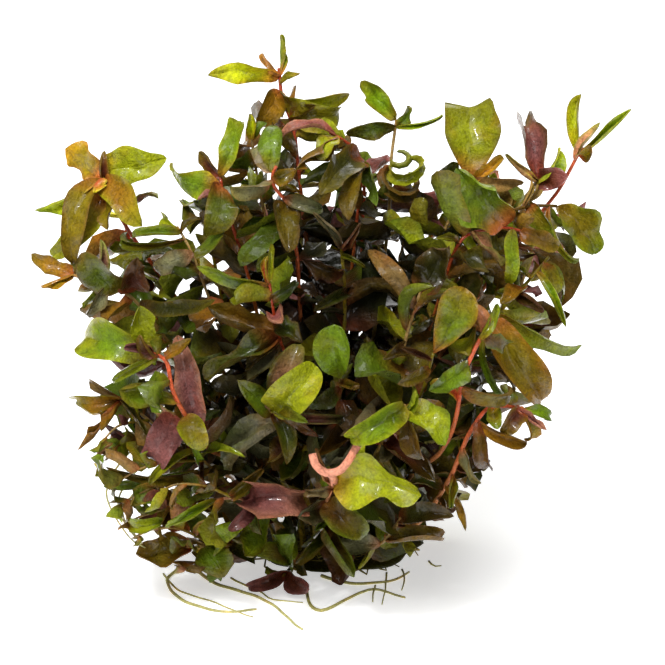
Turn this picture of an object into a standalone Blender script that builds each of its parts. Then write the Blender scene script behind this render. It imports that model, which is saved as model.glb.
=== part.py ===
"""Rotala macrandra: a rinsed clump of young plants, lifted whole out of its growing cup.

Thin stems rise and lean outwards from one matted crown of roots. Each stem carries its
leaves in pairs, and a few pale roots trail out over the surface that the clump stands on.

The clump is laid out on a viewing plane that leans back by VIEW_LEAN. A place on it is
(across, up, near) in millimetres: across to the right, up along the plane, and near
towards the eye. The world has +X to the right, +Y away from the eye and +Z up.
"""

import math
import random

import bmesh
import bpy
import numpy as np
from mathutils import Matrix, Vector
from mathutils.bvhtree import BVHTree

# Driving sizes, in millimetres
MM = 0.001
VIEW_LEAN = math.radians(20)
VIEW_DISTANCE = 415.0
VIEW_CENTRE = Vector((0.0, 0.0, 29.4))
CROWN_CENTRE = Vector((0.0, 0.0, 0.0))
CROWN_HALF_LENGTH = 11.5
CROWN_HALF_WIDTH = 9.0
CROWN_HEIGHT = 1.5
CROWN_SIDES = 16
CROWN_UNEVENNESS = (0.88, 1.06)
CROWN_SEED = 7
CROWN_RINGS = ((0.93, 0.0), (1.0, 0.7), (0.9, CROWN_HEIGHT))
FOOT_SPREAD = (0.26, 0.24)
CLIMB_SPREAD = 0.04
CLIMB_SHARE = 0.4
CLIMB_RANGE = (0.5, 3.0)
MESH_GAP = 0.3
STEM_SIDES = 4
STEM_STEP = 1.0
STEM_STRAYING = 0.3
STEM_SPACING = 0.8
SPACING_SLACK = 0.05
SPACING_ROUNDS = 60
SPACING_STRIDE = 0.7
STEM_TAPER = 0.35
STEM_CLEARANCE = 0.1
LEAF_THICKNESS = 0.45
LEAF_CLEARANCE = 0.12
LEAF_ROOTING = 0.1
OWN_LEAF_GAP = 0.5
OWN_LEAF_TURN = 15
LEAF_TURN = 42
LEAF_SEED = 3
LEAF_CUPPING = (0.9, 1.7)
LEAF_TWIST = 30
LEAF_ARCHING = (-0.08, 0.1)
LEAF_BENDING = 0.07
LEAST_LEAF_HEIGHT = 0.35
LEAF_SAG = 0.2
LEAF_SWINGS = (0, 8, -8, 16, -16, 24, -24, 34, -34, 46, -46)
LEAF_SWAYS = (0, 10, -10, 20, -20)
LEAF_FULLNESS = 1.2
LEAF_POINT = 0.999
LEAF_WIDEST = 0.76
LEAF_ROUNDNESS = 0.64
LEAST_LEAF_WIDTH = 1.85
LONG_LEAF_WIDTH = 2.7
BIG_LEAF_WIDTH = 4.0
ROOM_GRID = (4, 2)
OWN_LEAF_ROWS = 5
ROOT_RADIUS = 0.3
ROOT_SIDES = 4
ROOT_TAPER = 0.4
ROOT_STEP = 5.0

# Leaf and stem colours as they meet the eye, and their gloss
COLOURS = {
    "lime": "8C9B1E",
    "green": "60761A",
    "deep": "465412",
    "olive": "5A5519",
    "dark": "3C3C10",
    "ochre": "8C641E",
    "brown": "5A3C1C",
    "burgundy": "3C0F14",
    "purple": "6E3C41",
    "salmon": "CD8773",
    "grey": "5F6255",
    "coral": "BE4632",
    "red": "AA3214",
    "khaki": "A07D50",
    "root": "96914B",
}
WET_ROUGHNESS = 0.3

VIEW_RIGHT = Vector((1, 0, 0))
VIEW_UP = Vector((0, math.sin(VIEW_LEAN), math.cos(VIEW_LEAN)))
VIEW_NEAR = Vector((0, -math.cos(VIEW_LEAN), math.sin(VIEW_LEAN)))


def place(across, up, near):
    """The world point of a place on the viewing plane, narrowed a little the nearer it is."""
    narrowing = 1 - near / VIEW_DISTANCE
    flat = VIEW_RIGHT * across + VIEW_UP * up
    return VIEW_CENTRE + flat * narrowing + VIEW_NEAR * near


def on_surface(across, up, height):
    """The world point at this height over the surface that the eye sees at (across, up)."""
    drop = height - VIEW_CENTRE.z - up * VIEW_UP.z
    near = drop / (VIEW_NEAR.z - up * VIEW_UP.z / VIEW_DISTANCE)
    return place(across, up, near)


def leaf(at, tip, width, hue, turn=0, cup=0.6, arch=0.08, bend=0.0, twist=0, own=None):
    """One leaf: at counts the stem's route points from 1, and own names a leaf kept apart."""
    return {
        "at": at,
        "tip": tip,
        "width": width,
        "hue": hue,
        "turn": turn,
        "cup": cup,
        "arch": arch,
        "bend": bend,
        "twist": twist,
        "own": own,
    }


# Each stem: its radius, its hue, the places it passes and the leaves that show on it
STEMS = {
    "top_stem": (0.36, "red", [
        (-1, -8, -3), (-3, 8, 3), (-4, 18, 6), (-4.9, 25.8, 6), (-6.4, 29.3, 5), (-6.7, 33, 4),
    ], [
        leaf(6, (-6.4, 37.3, 2), 1.9, "green", cup=0.9),
        leaf(6, (-9.2, 34.6, 5), 2.2, "brown", cup=1.2),
        leaf(5.9, (-15.9, 32.7, 6), 2.8, "lime", turn=-20, cup=0.3, twist=30),
        leaf(6, (-3.7, 32.2, 5), 1.6, "lime", cup=0.8),
        leaf(5, (0.6, 26.7, 8), 3.4, "olive", arch=0.2),
        leaf(4.6, (2.1, 29.9, 3), 3.0, "lime", turn=30, cup=0.9, arch=0.15),
        leaf(4, (-1.6, 28.4, 9), 2.2, "olive", cup=0.5),
        leaf(5, (-8.8, 25.9, 8), 3.4, "ochre", cup=0.4),
    ]),
    "arching_stem": (0.3, "red", [
        (1.5, -6, -1), (2.4, 8, 5), (3.6, 18, 8), (3.6, 22, 9), (1.4, 24.1, 10), (-0.4, 25, 10),
    ], [
        leaf(6, (-6.7, 24.7, 12), 1.9, "purple", arch=0.12, cup=0.7),
        leaf(5.8, (-6.9, 20.9, 15), 2.8, "olive", turn=15),
        leaf(5, (-1.7, 20.6, 14), 2.4, "lime", cup=0.8),
        leaf(4, (-1.3, 17.4, 17), 3.8, "dark", cup=0.7),
        leaf(3.6, (1.9, 14.1, 16), 3.2, "olive", cup=0.5, turn=25),
        leaf(3.4, (6.4, 15.0, 13), 2.4, "deep", cup=0.8, turn=-25),
    ]),
    "coral_stem": (0.36, "coral", [
        (-3.5, -8, 1), (-4, 6, 9), (-5.6, 16, 14), (-7.4, 17.8, 15), (-7.8, 19.6, 15),
        (-7, 20.8, 15),
    ], [
        leaf(6, (-7.4, 26.1, 12), 2.7, "green", cup=0.5),
        leaf(6, (-10.4, 24.4, 12), 2.4, "grey", cup=0.5, turn=-20),
        leaf(6, (-4.3, 20.4, 16), 2.2, "olive", cup=0.8),
        leaf(4.2, (-12.3, 17.2, 18), 3.0, "grey", cup=0.5, turn=-15),
        leaf(3, (-5.2, 10.6, 20), 3.7, "olive", cup=0.3),
        leaf(2.6, (-11.6, 9.4, 18), 3.0, "deep", cup=0.5),
        leaf(3.2, (-1.2, 15.4, 16), 2.6, "grey", cup=0.8, turn=20),
    ]),
    "pale_bud_stem": (0.28, "khaki", [
        (-5, -6, 0), (-7, 8, 5), (-9.2, 18, 8), (-9.8, 22, 10), (-10.2, 25, 9),
    ], [
        leaf(5, (-10.3, 27.4, 9), 2.2, "lime", cup=0.9),
        leaf(4.5, (-8.2, 26.2, 9), 1.8, "green", cup=0.6),
        leaf(3.8, (-13.0, 21.0, 10), 2.6, "deep", cup=0.5),
    ]),
    "dark_red_stem": (0.32, "red", [
        (-7, -8, 1), (-10, 5, 9), (-12.2, 13, 12), (-13.8, 17.4, 13), (-14, 20.2, 12),
    ], [
        leaf(5, (-9.1, 25.8, 10), 2.8, "green", arch=0.12, cup=0.9),
        leaf(4.3, (-20.5, 20.6, 10), 3.6, "green", arch=0.16, cup=0.5),
        leaf(4.2, (-15.2, 12.4, 17), 3.6, "deep", cup=0.6),
        leaf(3.9, (-16.9, 16.6, 14), 1.4, "purple", cup=0.6),
        leaf(4.8, (-16.2, 22.6, 9), 2.0, "burgundy", cup=0.9),
        leaf(3.2, (-17.0, 9.0, 16), 2.3, "green", cup=0.5, turn=20),
    ]),
    "left_top_stem": (0.36, "red", [
        (-11, -10, -2), (-18, 2, 4), (-25, 12, 6), (-28.2, 17, 6), (-29, 20.2, 6),
    ], [
        leaf(5, (-20.8, 21.9, 7), 4.6, "lime", cup=0.3, arch=0.05, own="big_lime_leaf"),
        leaf(5, (-32.9, 23.4, 4), 3.4, "olive", cup=0.6, bend=0.1),
        leaf(5, (-29.0, 22.8, 8), 1.6, "burgundy", cup=1.4),
        leaf(4.6, (-24.0, 13.4, 11), 3.8, "ochre", cup=0.9, arch=0.12),
        leaf(4.5, (-37.3, 15.8, 3), 2.8, "lime", cup=0.6),
        leaf(4.4, (-32.6, 8.7, 8), 2.4, "olive", cup=1.0, bend=0.08),
        leaf(4.2, (-35.4, 9.4, 5), 2.2, "olive", cup=0.9, bend=-0.08),
        leaf(4.8, (-30.6, 17.0, 9), 2.4, "red", cup=1.1),
        leaf(4, (-28.0, 12.8, 10), 2.0, "olive", cup=0.6),
    ]),
    "arching_leaf_stem": (0.28, "khaki", [
        (-9.5, -8, 3), (-14.5, 2, 10), (-17.2, 9.2, 13), (-18.3, 11.4, 13), (-19.4, 13.2, 12),
    ], [
        leaf(4.7, (-25.4, 12.0, 12), 1.9, "green", arch=0.2, cup=0.7),
        leaf(5, (-16.6, 14.4, 14), 1.0, "olive", arch=0.2, cup=0.9),
        leaf(4, (-27.8, 11.6, 9), 2.2, "olive", cup=0.6),
        leaf(3, (-22.8, 7.8, 15), 2.4, "grey", cup=0.4),
        leaf(5, (-21.8, 15.2, 10), 1.6, "lime", cup=0.8),
    ]),
    "left_stem": (0.34, "khaki", [
        (-13, -12, 3), (-20, -2, 9), (-25, 4.4, 11), (-29.4, 6.4, 9), (-33.2, 7.4, 7),
    ], [
        leaf(5, (-37.5, 9.5, 5), 2.4, "ochre", cup=0.8),
        leaf(5, (-36.6, 5.6, 7), 2.0, "olive", cup=0.8),
        leaf(3.2, (-31.6, 9.6, 13), 4.2, "deep", cup=0.4),
        leaf(4, (-28.7, 10.8, 13), 2.5, "purple", cup=0.7),
        leaf(3, (-24.4, 9.6, 15), 3.2, "burgundy", cup=0.6),
        leaf(3.6, (-30.6, 2.0, 10), 2.6, "grey", cup=0.5),
        leaf(2.8, (-14.3, 3.9, 19), 1.9, "dark", cup=0.8, arch=-0.05),
    ]),
    "hooked_coral_stem": (0.42, "coral", [
        (-10, -17, 3), (-15.2, -15, 12), (-18.2, -10.6, 18), (-20.2, -7, 19.5), (-20.7, -3.4, 19),
        (-23.2, -2.4, 17),
    ], [
        leaf(6, (-31.7, -0.7, 12), 4.0, "green", arch=0.12, cup=0.6, own="left_green_leaf"),
        leaf(6, (-24.3, 3.6, 17), 3.6, "lime", arch=0.1, cup=0.5, own="left_lime_leaf"),
        leaf(5.8, (-26.0, -1.9, 19), 2.2, "burgundy", cup=1.3),
        leaf(5.2, (-24.2, -0.4, 20), 2.2, "burgundy", cup=1.3),
        leaf(2.6, (-19.4, -0.3, 17), 3.1, "purple", cup=0.4),
        leaf(5, (-17.2, -0.9, 20), 1.8, "ochre", cup=0.8),
        leaf(6, (-28.0, -6.6, 16), 1.8, "lime", cup=0.8),
        leaf(3, (-16.2, -14.4, 21), 3.2, "olive", cup=0.6),
    ]),
    "left_edge_stem": (0.3, "khaki", [
        (-14, -18, 1), (-21, -12.6, 7), (-25.4, -9, 9), (-27.2, -8.4, 9),
    ], [
        leaf(4, (-32.6, -8.6, 8), 3.6, "ochre", cup=1.3),
        leaf(4, (-30.8, -5.9, 7), 1.4, "khaki", cup=0.8),
        leaf(3, (-31.0, -15.8, 8), 2.2, "brown", cup=0.9),
        leaf(3.5, (-28.6, -13.0, 11), 2.2, "ochre", cup=0.9),
        leaf(3, (-23.4, -12.6, 14), 1.8, "dark", cup=0.6),
    ]),
    "purple_leaf_stem": (0.3, "khaki", [
        (-12, -20, 5), (-16.6, -15.4, 13), (-19.2, -12, 16), (-19.8, -10.2, 16),
    ], [
        leaf(4, (-23.5, -16.8, 17), 3.8, "purple", cup=0.4, own="purple_leaf"),
        leaf(3.8, (-23.0, -9.6, 15), 1.8, "salmon", cup=0.8),
        leaf(1.9, (-17.2, -14.4, 20), 1.5, "green", cup=0.9),
        leaf(1.8, (-12.0, -14.4, 20), 1.5, "green", cup=0.9),
        leaf(2, (-23.0, -18.6, 16), 2.2, "lime", cup=0.6),
        leaf(1.6, (-28.3, -17.0, 12), 2.4, "olive", cup=0.5),
        leaf(1.5, (-28.6, -19.2, 9), 1.8, "green", cup=0.7),
    ]),
    "ruffled_leaf_stem": (0.3, "salmon", [
        (-6, -22, 4), (-10, -21.6, 12), (-11.8, -20.6, 15), (-15.4, -21, 14),
    ], [
        leaf(4, (-20.9, -24.3, 13), 2.2, "green", arch=0.15, cup=0.9),
        leaf(3, (-8.8, -17.5, 18), 3.0, "olive", cup=0.7),
        leaf(2.4, (-3.8, -20.6, 18), 4.4, "burgundy", cup=0.9, twist=40),
        leaf(2, (-12.6, -24.4, 16), 2.2, "purple", cup=0.7),
    ]),
    "low_left_stem": (0.32, "khaki", [
        (-9, -26.5, -3), (-14, -26.6, 4), (-18.2, -26.8, 8),
    ], [
        leaf(3, (-24.6, -28.2, 7), 4.2, "olive", cup=0.4),
        leaf(2.4, (-13.4, -30.4, 8), 3.8, "green", cup=0.4),
        leaf(3, (-19.8, -25.0, 11), 2.6, "brown", cup=0.7),
        leaf(2, (-11.8, -24.2, 12), 2.6, "green", cup=0.5),
    ]),
    "low_front_stem": (0.3, "brown", [
        (-4, -28.6, -3), (-6.2, -30.6, 3),
    ], [
        leaf(2, (-10.4, -32.0, 5), 2.4, "burgundy", cup=0.8),
        leaf(1.9, (-2.2, -32.2, 6.5), 2.4, "burgundy", cup=0.8),
        leaf(1.4, (-5.2, -25.4, 8), 4.2, "deep", cup=0.5),
        leaf(1.2, (-10.4, -27.2, 7.2), 2.6, "brown", cup=0.6),
    ]),
    "rosette_stem": (0.34, "khaki", [
        (-3, -16, 6), (-6, -12.4, 16), (-8, -9.3, 21.5),
    ], [
        leaf(3, (-4.5, -1.4, 23), 2.6, "salmon", cup=0.5, arch=0.1),
        leaf(3, (-2.2, -4.6, 25), 4.2, "lime", cup=0.7, arch=0.15, own="round_lime_leaf"),
        leaf(3, (-12.1, -5.7, 23), 3.2, "green", cup=0.6),
        leaf(3, (-0.7, -10, 26), 2.3, "olive", arch=0.1, cup=0.9),
        leaf(2.8, (-0.8, -11.2, 24), 1.5, "brown", cup=0.9),
        leaf(2.6, (-5.4, -16.3, 22), 2.5, "deep", cup=0.5),
        leaf(2.4, (1.4, -11.0, 22), 2.0, "purple", cup=0.8),
    ]),
    "front_green_stem": (0.34, "khaki", [
        (0.5, -14, 6), (0.8, -8.6, 16), (1, -5.8, 20.5),
    ], [
        leaf(3, (0.2, 0.6, 25), 5.0, "green", cup=0.7, arch=0.12, own="bright_green_leaf"),
        leaf(2.7, (4.8, -7.2, 24), 2.0, "olive", cup=0.7),
        leaf(2.4, (-3.0, -9.4, 22), 2.0, "dark", cup=0.7),
    ]),
    "bud_stem": (0.3, "red", [
        (-3.8, -8, 9), (-5.8, -3, 16), (-7, 0.4, 19), (-7.5, 4, 20), (-8, 7, 21),
    ], [
        leaf(5, (-8.2, 9.6, 21), 1.5, "red", cup=1.6),
        leaf(5, (-7.5, 11.4, 20), 1.3, "lime", cup=0.8),
        leaf(3.2, (-6.4, 1.4, 23), 2.0, "purple", cup=1.3),
        leaf(3, (-3.6, -1.4, 21), 3.2, "deep", cup=0.7, arch=0.15),
        leaf(4, (-12.1, 3.8, 23), 4.4, "lime", cup=2.6, turn=180),
        leaf(4.6, (-16.8, 9, 19), 2.3, "green", cup=0.6),
        leaf(4, (-4.4, 6.4, 22), 2.0, "deep", cup=0.9),
        leaf(2.6, (-16.4, -5.2, 19), 4.2, "deep", cup=0.4),
        leaf(2.5, (-11.2, -4.6, 19), 2.4, "brown", cup=0.6),
    ]),
    "middle_stem": (0.34, "olive", [
        (1, -6, 6), (1.6, 4, 12), (1, 11.6, 15),
    ], [
        leaf(3, (-2.8, 15.2, 16), 2.6, "grey", cup=0.8),
        leaf(3, (3.4, 13.6, 17), 2.0, "burgundy", cup=0.7),
        leaf(2.6, (4.2, 8.0, 17), 1.7, "lime", cup=0.8),
        leaf(2.4, (-4.4, 9.8, 16), 3.6, "brown", cup=0.4),
        leaf(2, (-1.6, 3.0, 18), 2.6, "deep", cup=0.5),
    ]),
    "big_dark_leaf_stem": (0.36, "khaki", [
        (3.6, -14, 8), (7.4, -7, 17), (9.6, 1, 20), (11, 5, 20),
    ], [
        leaf(4, (14.7, 11.4, 21), 4.6, "dark", cup=0.6, bend=0.08, own="big_dark_leaf"),
        leaf(2.8, (12.4, 6, 26), 3.4, "green", cup=2.2, turn=180),
        leaf(3.2, (4.6, 10.4, 19), 2.2, "khaki", cup=0.6),
        leaf(2.6, (5.4, -4.3, 25), 2.2, "brown", cup=0.8, arch=0.1),
    ]),
    "glossy_leaf_stem": (0.32, "olive", [
        (7, -16, 9), (11, -8, 19), (12.6, -2.6, 22),
    ], [
        leaf(3, (16.5, 5.4, 25), 4.6, "green", cup=0.5, own="glossy_green_leaf"),
        leaf(3, (7.4, -2.0, 25), 1.8, "burgundy", cup=0.7),
        leaf(2.6, (8.8, -6.4, 26), 1.8, "olive", cup=0.8),
    ]),
    "coral_double_stem": (0.4, "coral", [
        (9.6, -18, 9), (13.6, -15, 16), (15.4, -11, 20), (15.8, -7.4, 22), (16.8, -4.2, 23),
        (19.2, 0.8, 22),
    ], [
        leaf(6, (18.2, 4.0, 22), 1.8, "salmon", cup=0.8),
        leaf(5, (11.9, -7.4, 27), 2.5, "green", cup=0.5),
        leaf(6, (22.4, -1.6, 20), 2.0, "brown", cup=0.8),
        leaf(4.2, (23.2, -7.8, 21), 2.4, "olive", arch=0.12, cup=0.7),
        leaf(3.4, (12.6, -5.6, 22), 1.6, "red", cup=0.9),
        leaf(6, (20.6, 3.6, 21), 1.6, "lime", cup=0.8),
    ]),
    "right_coral_stem": (0.4, "coral", [
        (10.6, -24, 7), (14.6, -18.4, 16), (16, -14.7, 18), (17.6, -11.6, 19.5), (19.4, -9.2, 20),
        (22.6, -9.2, 19), (24.4, -9.9, 17.5),
    ], [
        leaf(7, (27.6, -10.8, 16), 1.8, "green", cup=0.7),
        leaf(7, (21.4, -12.6, 20), 2.6, "burgundy", cup=0.6),
        leaf(7, (26.6, -12.2, 17), 1.8, "purple", cup=0.7),
        leaf(7, (25.4, -14.0, 16), 1.8, "olive", cup=0.9),
        leaf(5, (20.8, -12.3, 21), 2.2, "olive", cup=0.8),
        leaf(4, (24.3, -13.8, 17), 3.0, "ochre", cup=0.7),
        leaf(4, (19.0, -18.4, 19), 2.2, "brown", cup=0.9),
        leaf(3, (18.3, -19.0, 19), 2.0, "grey", cup=0.7),
        leaf(2, (14.9, -22.0, 17), 2.4, "olive", cup=0.9),
        leaf(1.8, (17.4, -24.8, 15), 1.4, "ochre", cup=0.9),
    ]),
    "right_edge_stem": (0.34, "olive", [
        (12, -14, 6), (16.4, -5, 13), (19, 0.4, 16), (22.4, 4.2, 14), (25.4, 7.4, 12), (27, 9.4, 10),
    ], [
        leaf(3.4, (31.2, -3, 12), 2.9, "lime", cup=0.6),
        leaf(3.2, (26.7, -9, 15), 5.2, "ochre", cup=0.5, bend=0.1, own="right_ochre_leaf"),
        leaf(3, (23.0, -8.6, 17), 1.5, "green", cup=0.8, bend=0.15),
        leaf(4.2, (26.4, 2.6, 15), 2.4, "brown", cup=1.1),
        leaf(5, (29, 0.3, 12), 2.7, "green", cup=0.7),
        leaf(6, (27.7, 4.6, 12), 2.4, "olive", cup=0.7),
        leaf(5.4, (29.7, 4.0, 10), 1.8, "olive", cup=0.7),
        leaf(4.4, (21.0, 3.4, 18), 2.4, "ochre", cup=0.7),
    ]),
    "red_node_stem": (0.3, "red", [
        (9, -10, 6), (13, 3, 13), (15.8, 11.4, 17), (19.8, 12.9, 15), (22, 13.2, 14), (24.3, 12.5, 13),
    ], [
        leaf(6, (28.4, 10.8, 12), 2.6, "brown", cup=0.7),
        leaf(4.6, (12.4, 18.9, 15.8), 6.4, "dark", cup=0.8, own="big_cupped_leaf"),
        leaf(5, (22.7, 5.7, 16), 1.9, "green", cup=0.7),
        leaf(5, (20.9, 15.8, 13), 1.4, "green", cup=0.8),
        leaf(3.2, (21.4, 8.6, 18), 2.8, "salmon", cup=0.9, arch=0.12),
        leaf(2.6, (19.4, 6.2, 20), 3.8, "dark", cup=1.3),
    ]),
    "grey_leaf_stem": (0.34, "brown", [
        (10, -8, 3), (14.4, 6, 9), (16.6, 12.6, 12), (20.8, 14.6, 11), (24.6, 15.9, 9), (28, 15.8, 7),
    ], [
        leaf(6, (33, 9.8, 7), 5.4, "grey", cup=0.5, own="big_grey_leaf"),
        leaf(6, (30.4, 8.2, 9), 2.2, "olive", cup=0.7),
        leaf(5, (27.4, 12.0, 10), 2.6, "olive", cup=0.8),
        leaf(4.6, (24.8, 19.0, 8), 1.6, "khaki", cup=0.8),
    ]),
    "right_top_stem": (0.36, "coral", [
        (12, -6, 1), (20.6, 8, 4), (27, 16, 4.5), (29.9, 20.2, 4.5), (31.2, 23.2, 4.5),
    ], [
        leaf(5, (31, 30, 3), 2.9, "lime", cup=0.7),
        leaf(5, (37.7, 29.7, 4), 1.9, "green", arch=-0.1, cup=0.7),
        leaf(5, (33.8, 26.2, 6), 1.8, "salmon", cup=1.0),
        leaf(4.8, (32.4, 23.9, 8), 2.4, "olive", cup=0.9),
    ]),
    "burgundy_leaf_stem": (0.32, "khaki", [
        (9.5, -6, -2), (16, 8, 3), (22, 14.6, 5), (25, 18, 5.5), (26, 20, 5.5),
    ], [
        leaf(5, (24.4, 27.2, 4), 3.6, "purple", cup=0.7),
        leaf(5, (21.6, 22.0, 8), 2.4, "salmon", cup=1.6),
        leaf(5, (29.2, 22.8, 7), 2.4, "green", cup=0.9),
        leaf(4.4, (29.5, 19.6, 8), 3.0, "burgundy", cup=0.7),
        leaf(4, (23.8, 16.8, 9), 1.8, "khaki", cup=0.8),
    ]),
    "folded_leaf_stem": (0.36, "khaki", [
        (6, -6, 2), (11, 6, 7), (14.6, 14, 10), (17.2, 19.6, 10.5),
    ], [
        leaf(4, (17.0, 29.3, 8), 6.6, "olive", cup=0.9, own="big_folded_leaf"),
        leaf(4, (20.8, 23.0, 9), 1.8, "ochre", cup=0.6),
        leaf(3.8, (24.0, 18.6, 10), 2.2, "khaki", cup=0.8),
    ]),
    "upper_green_stem": (0.32, "khaki", [
        (4.5, -5, 1), (6.6, 10, 6), (7.3, 18.6, 8), (7.3, 21.6, 8), (7.8, 24.4, 7.5), (8, 26.6, 7),
    ], [
        leaf(6, (3.7, 31.4, 5), 3.4, "green", cup=0.5, own="upper_green_leaf"),
        leaf(6, (9.7, 28.4, 6), 1.5, "green", cup=0.6),
        leaf(5.4, (2.0, 24.6, 10), 2.2, "deep", cup=0.8),
        leaf(5.5, (14.2, 27.0, 7), 1.5, "green", arch=0.14, cup=0.7),
        leaf(3.6, (3.8, 16.4, 12), 2.4, "olive", cup=1.0),
        leaf(3.4, (9.4, 15.8, 13), 2.4, "lime", cup=1.0),
        leaf(4, (10.4, 19.6, 10), 1.8, "lime", cup=1.3),
    ]),
    "front_node_stem": (0.36, "khaki", [
        (5, -16, 10), (7.4, -12.4, 19), (9, -9.1, 24),
    ], [
        leaf(3, (2.3, -13.4, 27.5), 4.2, "green", cup=0.6, own="node_left_leaf"),
        leaf(3, (14, -14.4, 25), 3.8, "lime", cup=0.6, bend=-0.15),
        leaf(3, (10.4, -6.8, 24), 1.8, "green", cup=0.8),
        leaf(2.8, (10.2, -16.6, 25), 2.8, "brown", cup=0.6),
    ]),
    "front_low_stem": (0.36, "salmon", [
        (-1, -24, 6), (-0.8, -21.5, 15), (0.2, -18.6, 21),
    ], [
        leaf(3, (11.6, -20.3, 24), 4.6, "lime", cup=0.7, bend=-0.14, arch=0.05, own="big_front_leaf"),
        leaf(3, (-2.6, -15.0, 23), 1.7, "salmon", cup=1.0, bend=0.12),
        leaf(3, (3.4, -14.0, 24), 2.2, "lime", cup=0.7, bend=0.1),
        leaf(3, (6.2, -16.4, 22), 2.2, "burgundy", cup=0.7),
        leaf(2.6, (-3.4, -19.8, 20), 2.2, "grey", cup=0.6),
        leaf(2, (4.0, -25.4, 18), 4.0, "brown", cup=0.5),
    ]),
    "low_right_stem": (0.34, "khaki", [
        (4, -27, -1), (6.4, -26.2, 7), (8.6, -23.2, 12.5),
    ], [
        leaf(3, (14.8, -22.8, 17), 3.2, "dark", cup=0.6),
        leaf(2, (13.6, -25.2, 10), 3.4, "olive", cup=1.0),
        leaf(1.8, (-0.9, -27.0, 8), 2.2, "grey", cup=0.6, arch=0.1),
        leaf(1.6, (3.2, -29.6, 6), 2.2, "olive", cup=1.1),
    ]),
}

# The stems of the far side: which way each leans, how far out and how high its tip is
BACK_STEMS = [
    (22, 29, 42), (42, 24, 44), (60, 27, 40), (74, 15, 46), (94, 24, 43), (112, 27, 40),
    (136, 23, 41), (158, 29, 42),
]
BACK_BENDS = ((0.62, 0.35), (0.85, 0.68), (1.0, 1.0))
BACK_RADIUS = 0.34
BACK_PAIRS = (0.4, 0.6, 0.8, 1.0)
INNER_PAIRS = (0.45,)
PAIR_LENGTHS = (7.5, 10.0)
PAIR_AT_TIP = 0.7
PAIR_LIFTS = (0.2, 0.7)
PAIR_WIDTHS = (0.46, 0.6)
PAIR_CUPS = (0.3, 0.8)
PAIR_ARCHES = (-0.18, 0.02)
PAIR_BENDING = 0.08
PAIR_TWIST = 25
INNER_STEMS = (
    "top_stem", "pale_bud_stem", "left_top_stem", "left_stem", "right_top_stem",
    "burgundy_leaf_stem", "upper_green_stem",
)
BACK_HUES = ["khaki", "coral", "olive", "red"]
BACK_LEAF_HUES = ["green", "olive", "burgundy", "lime", "deep", "ochre", "purple", "brown"]

# The trailing roots, as the eye sees them on the surface, from under the clump outwards
ROOTS = {
    "root_far_left": [(-19.4, -29.6), (-20.8, -31.2), (-18.4, -33.4), (-14, -34.9), (-9.4, -34.4)],
    "root_left": [(-17.6, -29.4), (-15.2, -31), (-11, -32.4), (-6.6, -34.6), (-3.8, -37)],
    "root_middle": [(-3.4, -31.6), (-1.6, -34.6), (1.6, -33.4), (5.6, -31.9), (9, -33.1)],
    "root_right": [(-1.4, -30.4), (2.4, -31.2), (6, -31.2), (8, -30.8), (9.6, -29.8)],
}


def curve_through(points, spacing):
    """Even points on a smooth curve through these, each with how many points it is along."""
    padded = [2 * points[0] - points[1], *points, 2 * points[-1] - points[-2]]
    fine = []
    for i in range(1, len(padded) - 2):
        before, start, end, after = padded[i - 1 : i + 3]
        for step in range(20):
            s = step / 20
            bent = (
                2 * start
                + (end - before) * s
                + (2 * before - 5 * start + 4 * end - after) * s * s
                + (3 * start - before - 3 * end + after) * s * s * s
            ) / 2
            fine.append((bent, i - 1 + s))
    fine.append((points[-1], len(points) - 1))
    lengths = [0.0]
    for (a, _), (b, _) in zip(fine, fine[1:]):
        lengths.append(lengths[-1] + (b - a).length)
    count = max(2, round(lengths[-1] / spacing))
    wanted = np.linspace(0, lengths[-1], count + 1)
    columns = [np.interp(wanted, lengths, [p[k] for p, _ in fine]) for k in range(3)]
    along = np.interp(wanted, lengths, [a for _, a in fine])
    return np.array(columns).T, along


def stem_routes():
    """Every stem's radius, hue, points from the crown up, the count along them, and leaves."""
    routes = {}
    for name, (radius, hue, places, leaves) in STEMS.items():
        routes[name] = (radius, hue, [place(*p) for p in places], leaves)
    for i, (lean, out, height) in enumerate(BACK_STEMS):
        way = Vector((math.cos(math.radians(lean)), math.sin(math.radians(lean)), 0))
        up = Vector((0, 0, 1))
        points = [way * out * share + up * height * rise for share, rise in BACK_BENDS]
        routes[f"back_stem_{i + 1}"] = (BACK_RADIUS, BACK_HUES[i % len(BACK_HUES)], points, [])
    grown = {}
    for name, (radius, hue, points, leaves) in routes.items():
        end = points[-1]
        across, away = FOOT_SPREAD
        foot = CROWN_CENTRE + Vector((end.x * across, end.y * away, CROWN_HEIGHT + MESH_GAP))
        climb = min(max((points[0].z - foot.z) * CLIMB_SHARE, CLIMB_RANGE[0]), CLIMB_RANGE[1])
        rise = foot + Vector((end.x * CLIMB_SPREAD, end.y * CLIMB_SPREAD, climb))
        line, along = curve_through([foot, rise, *points], STEM_STEP)
        grown[name] = [radius, hue, line, along - 1, leaves]
    lean_aside(grown)
    return grown


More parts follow.
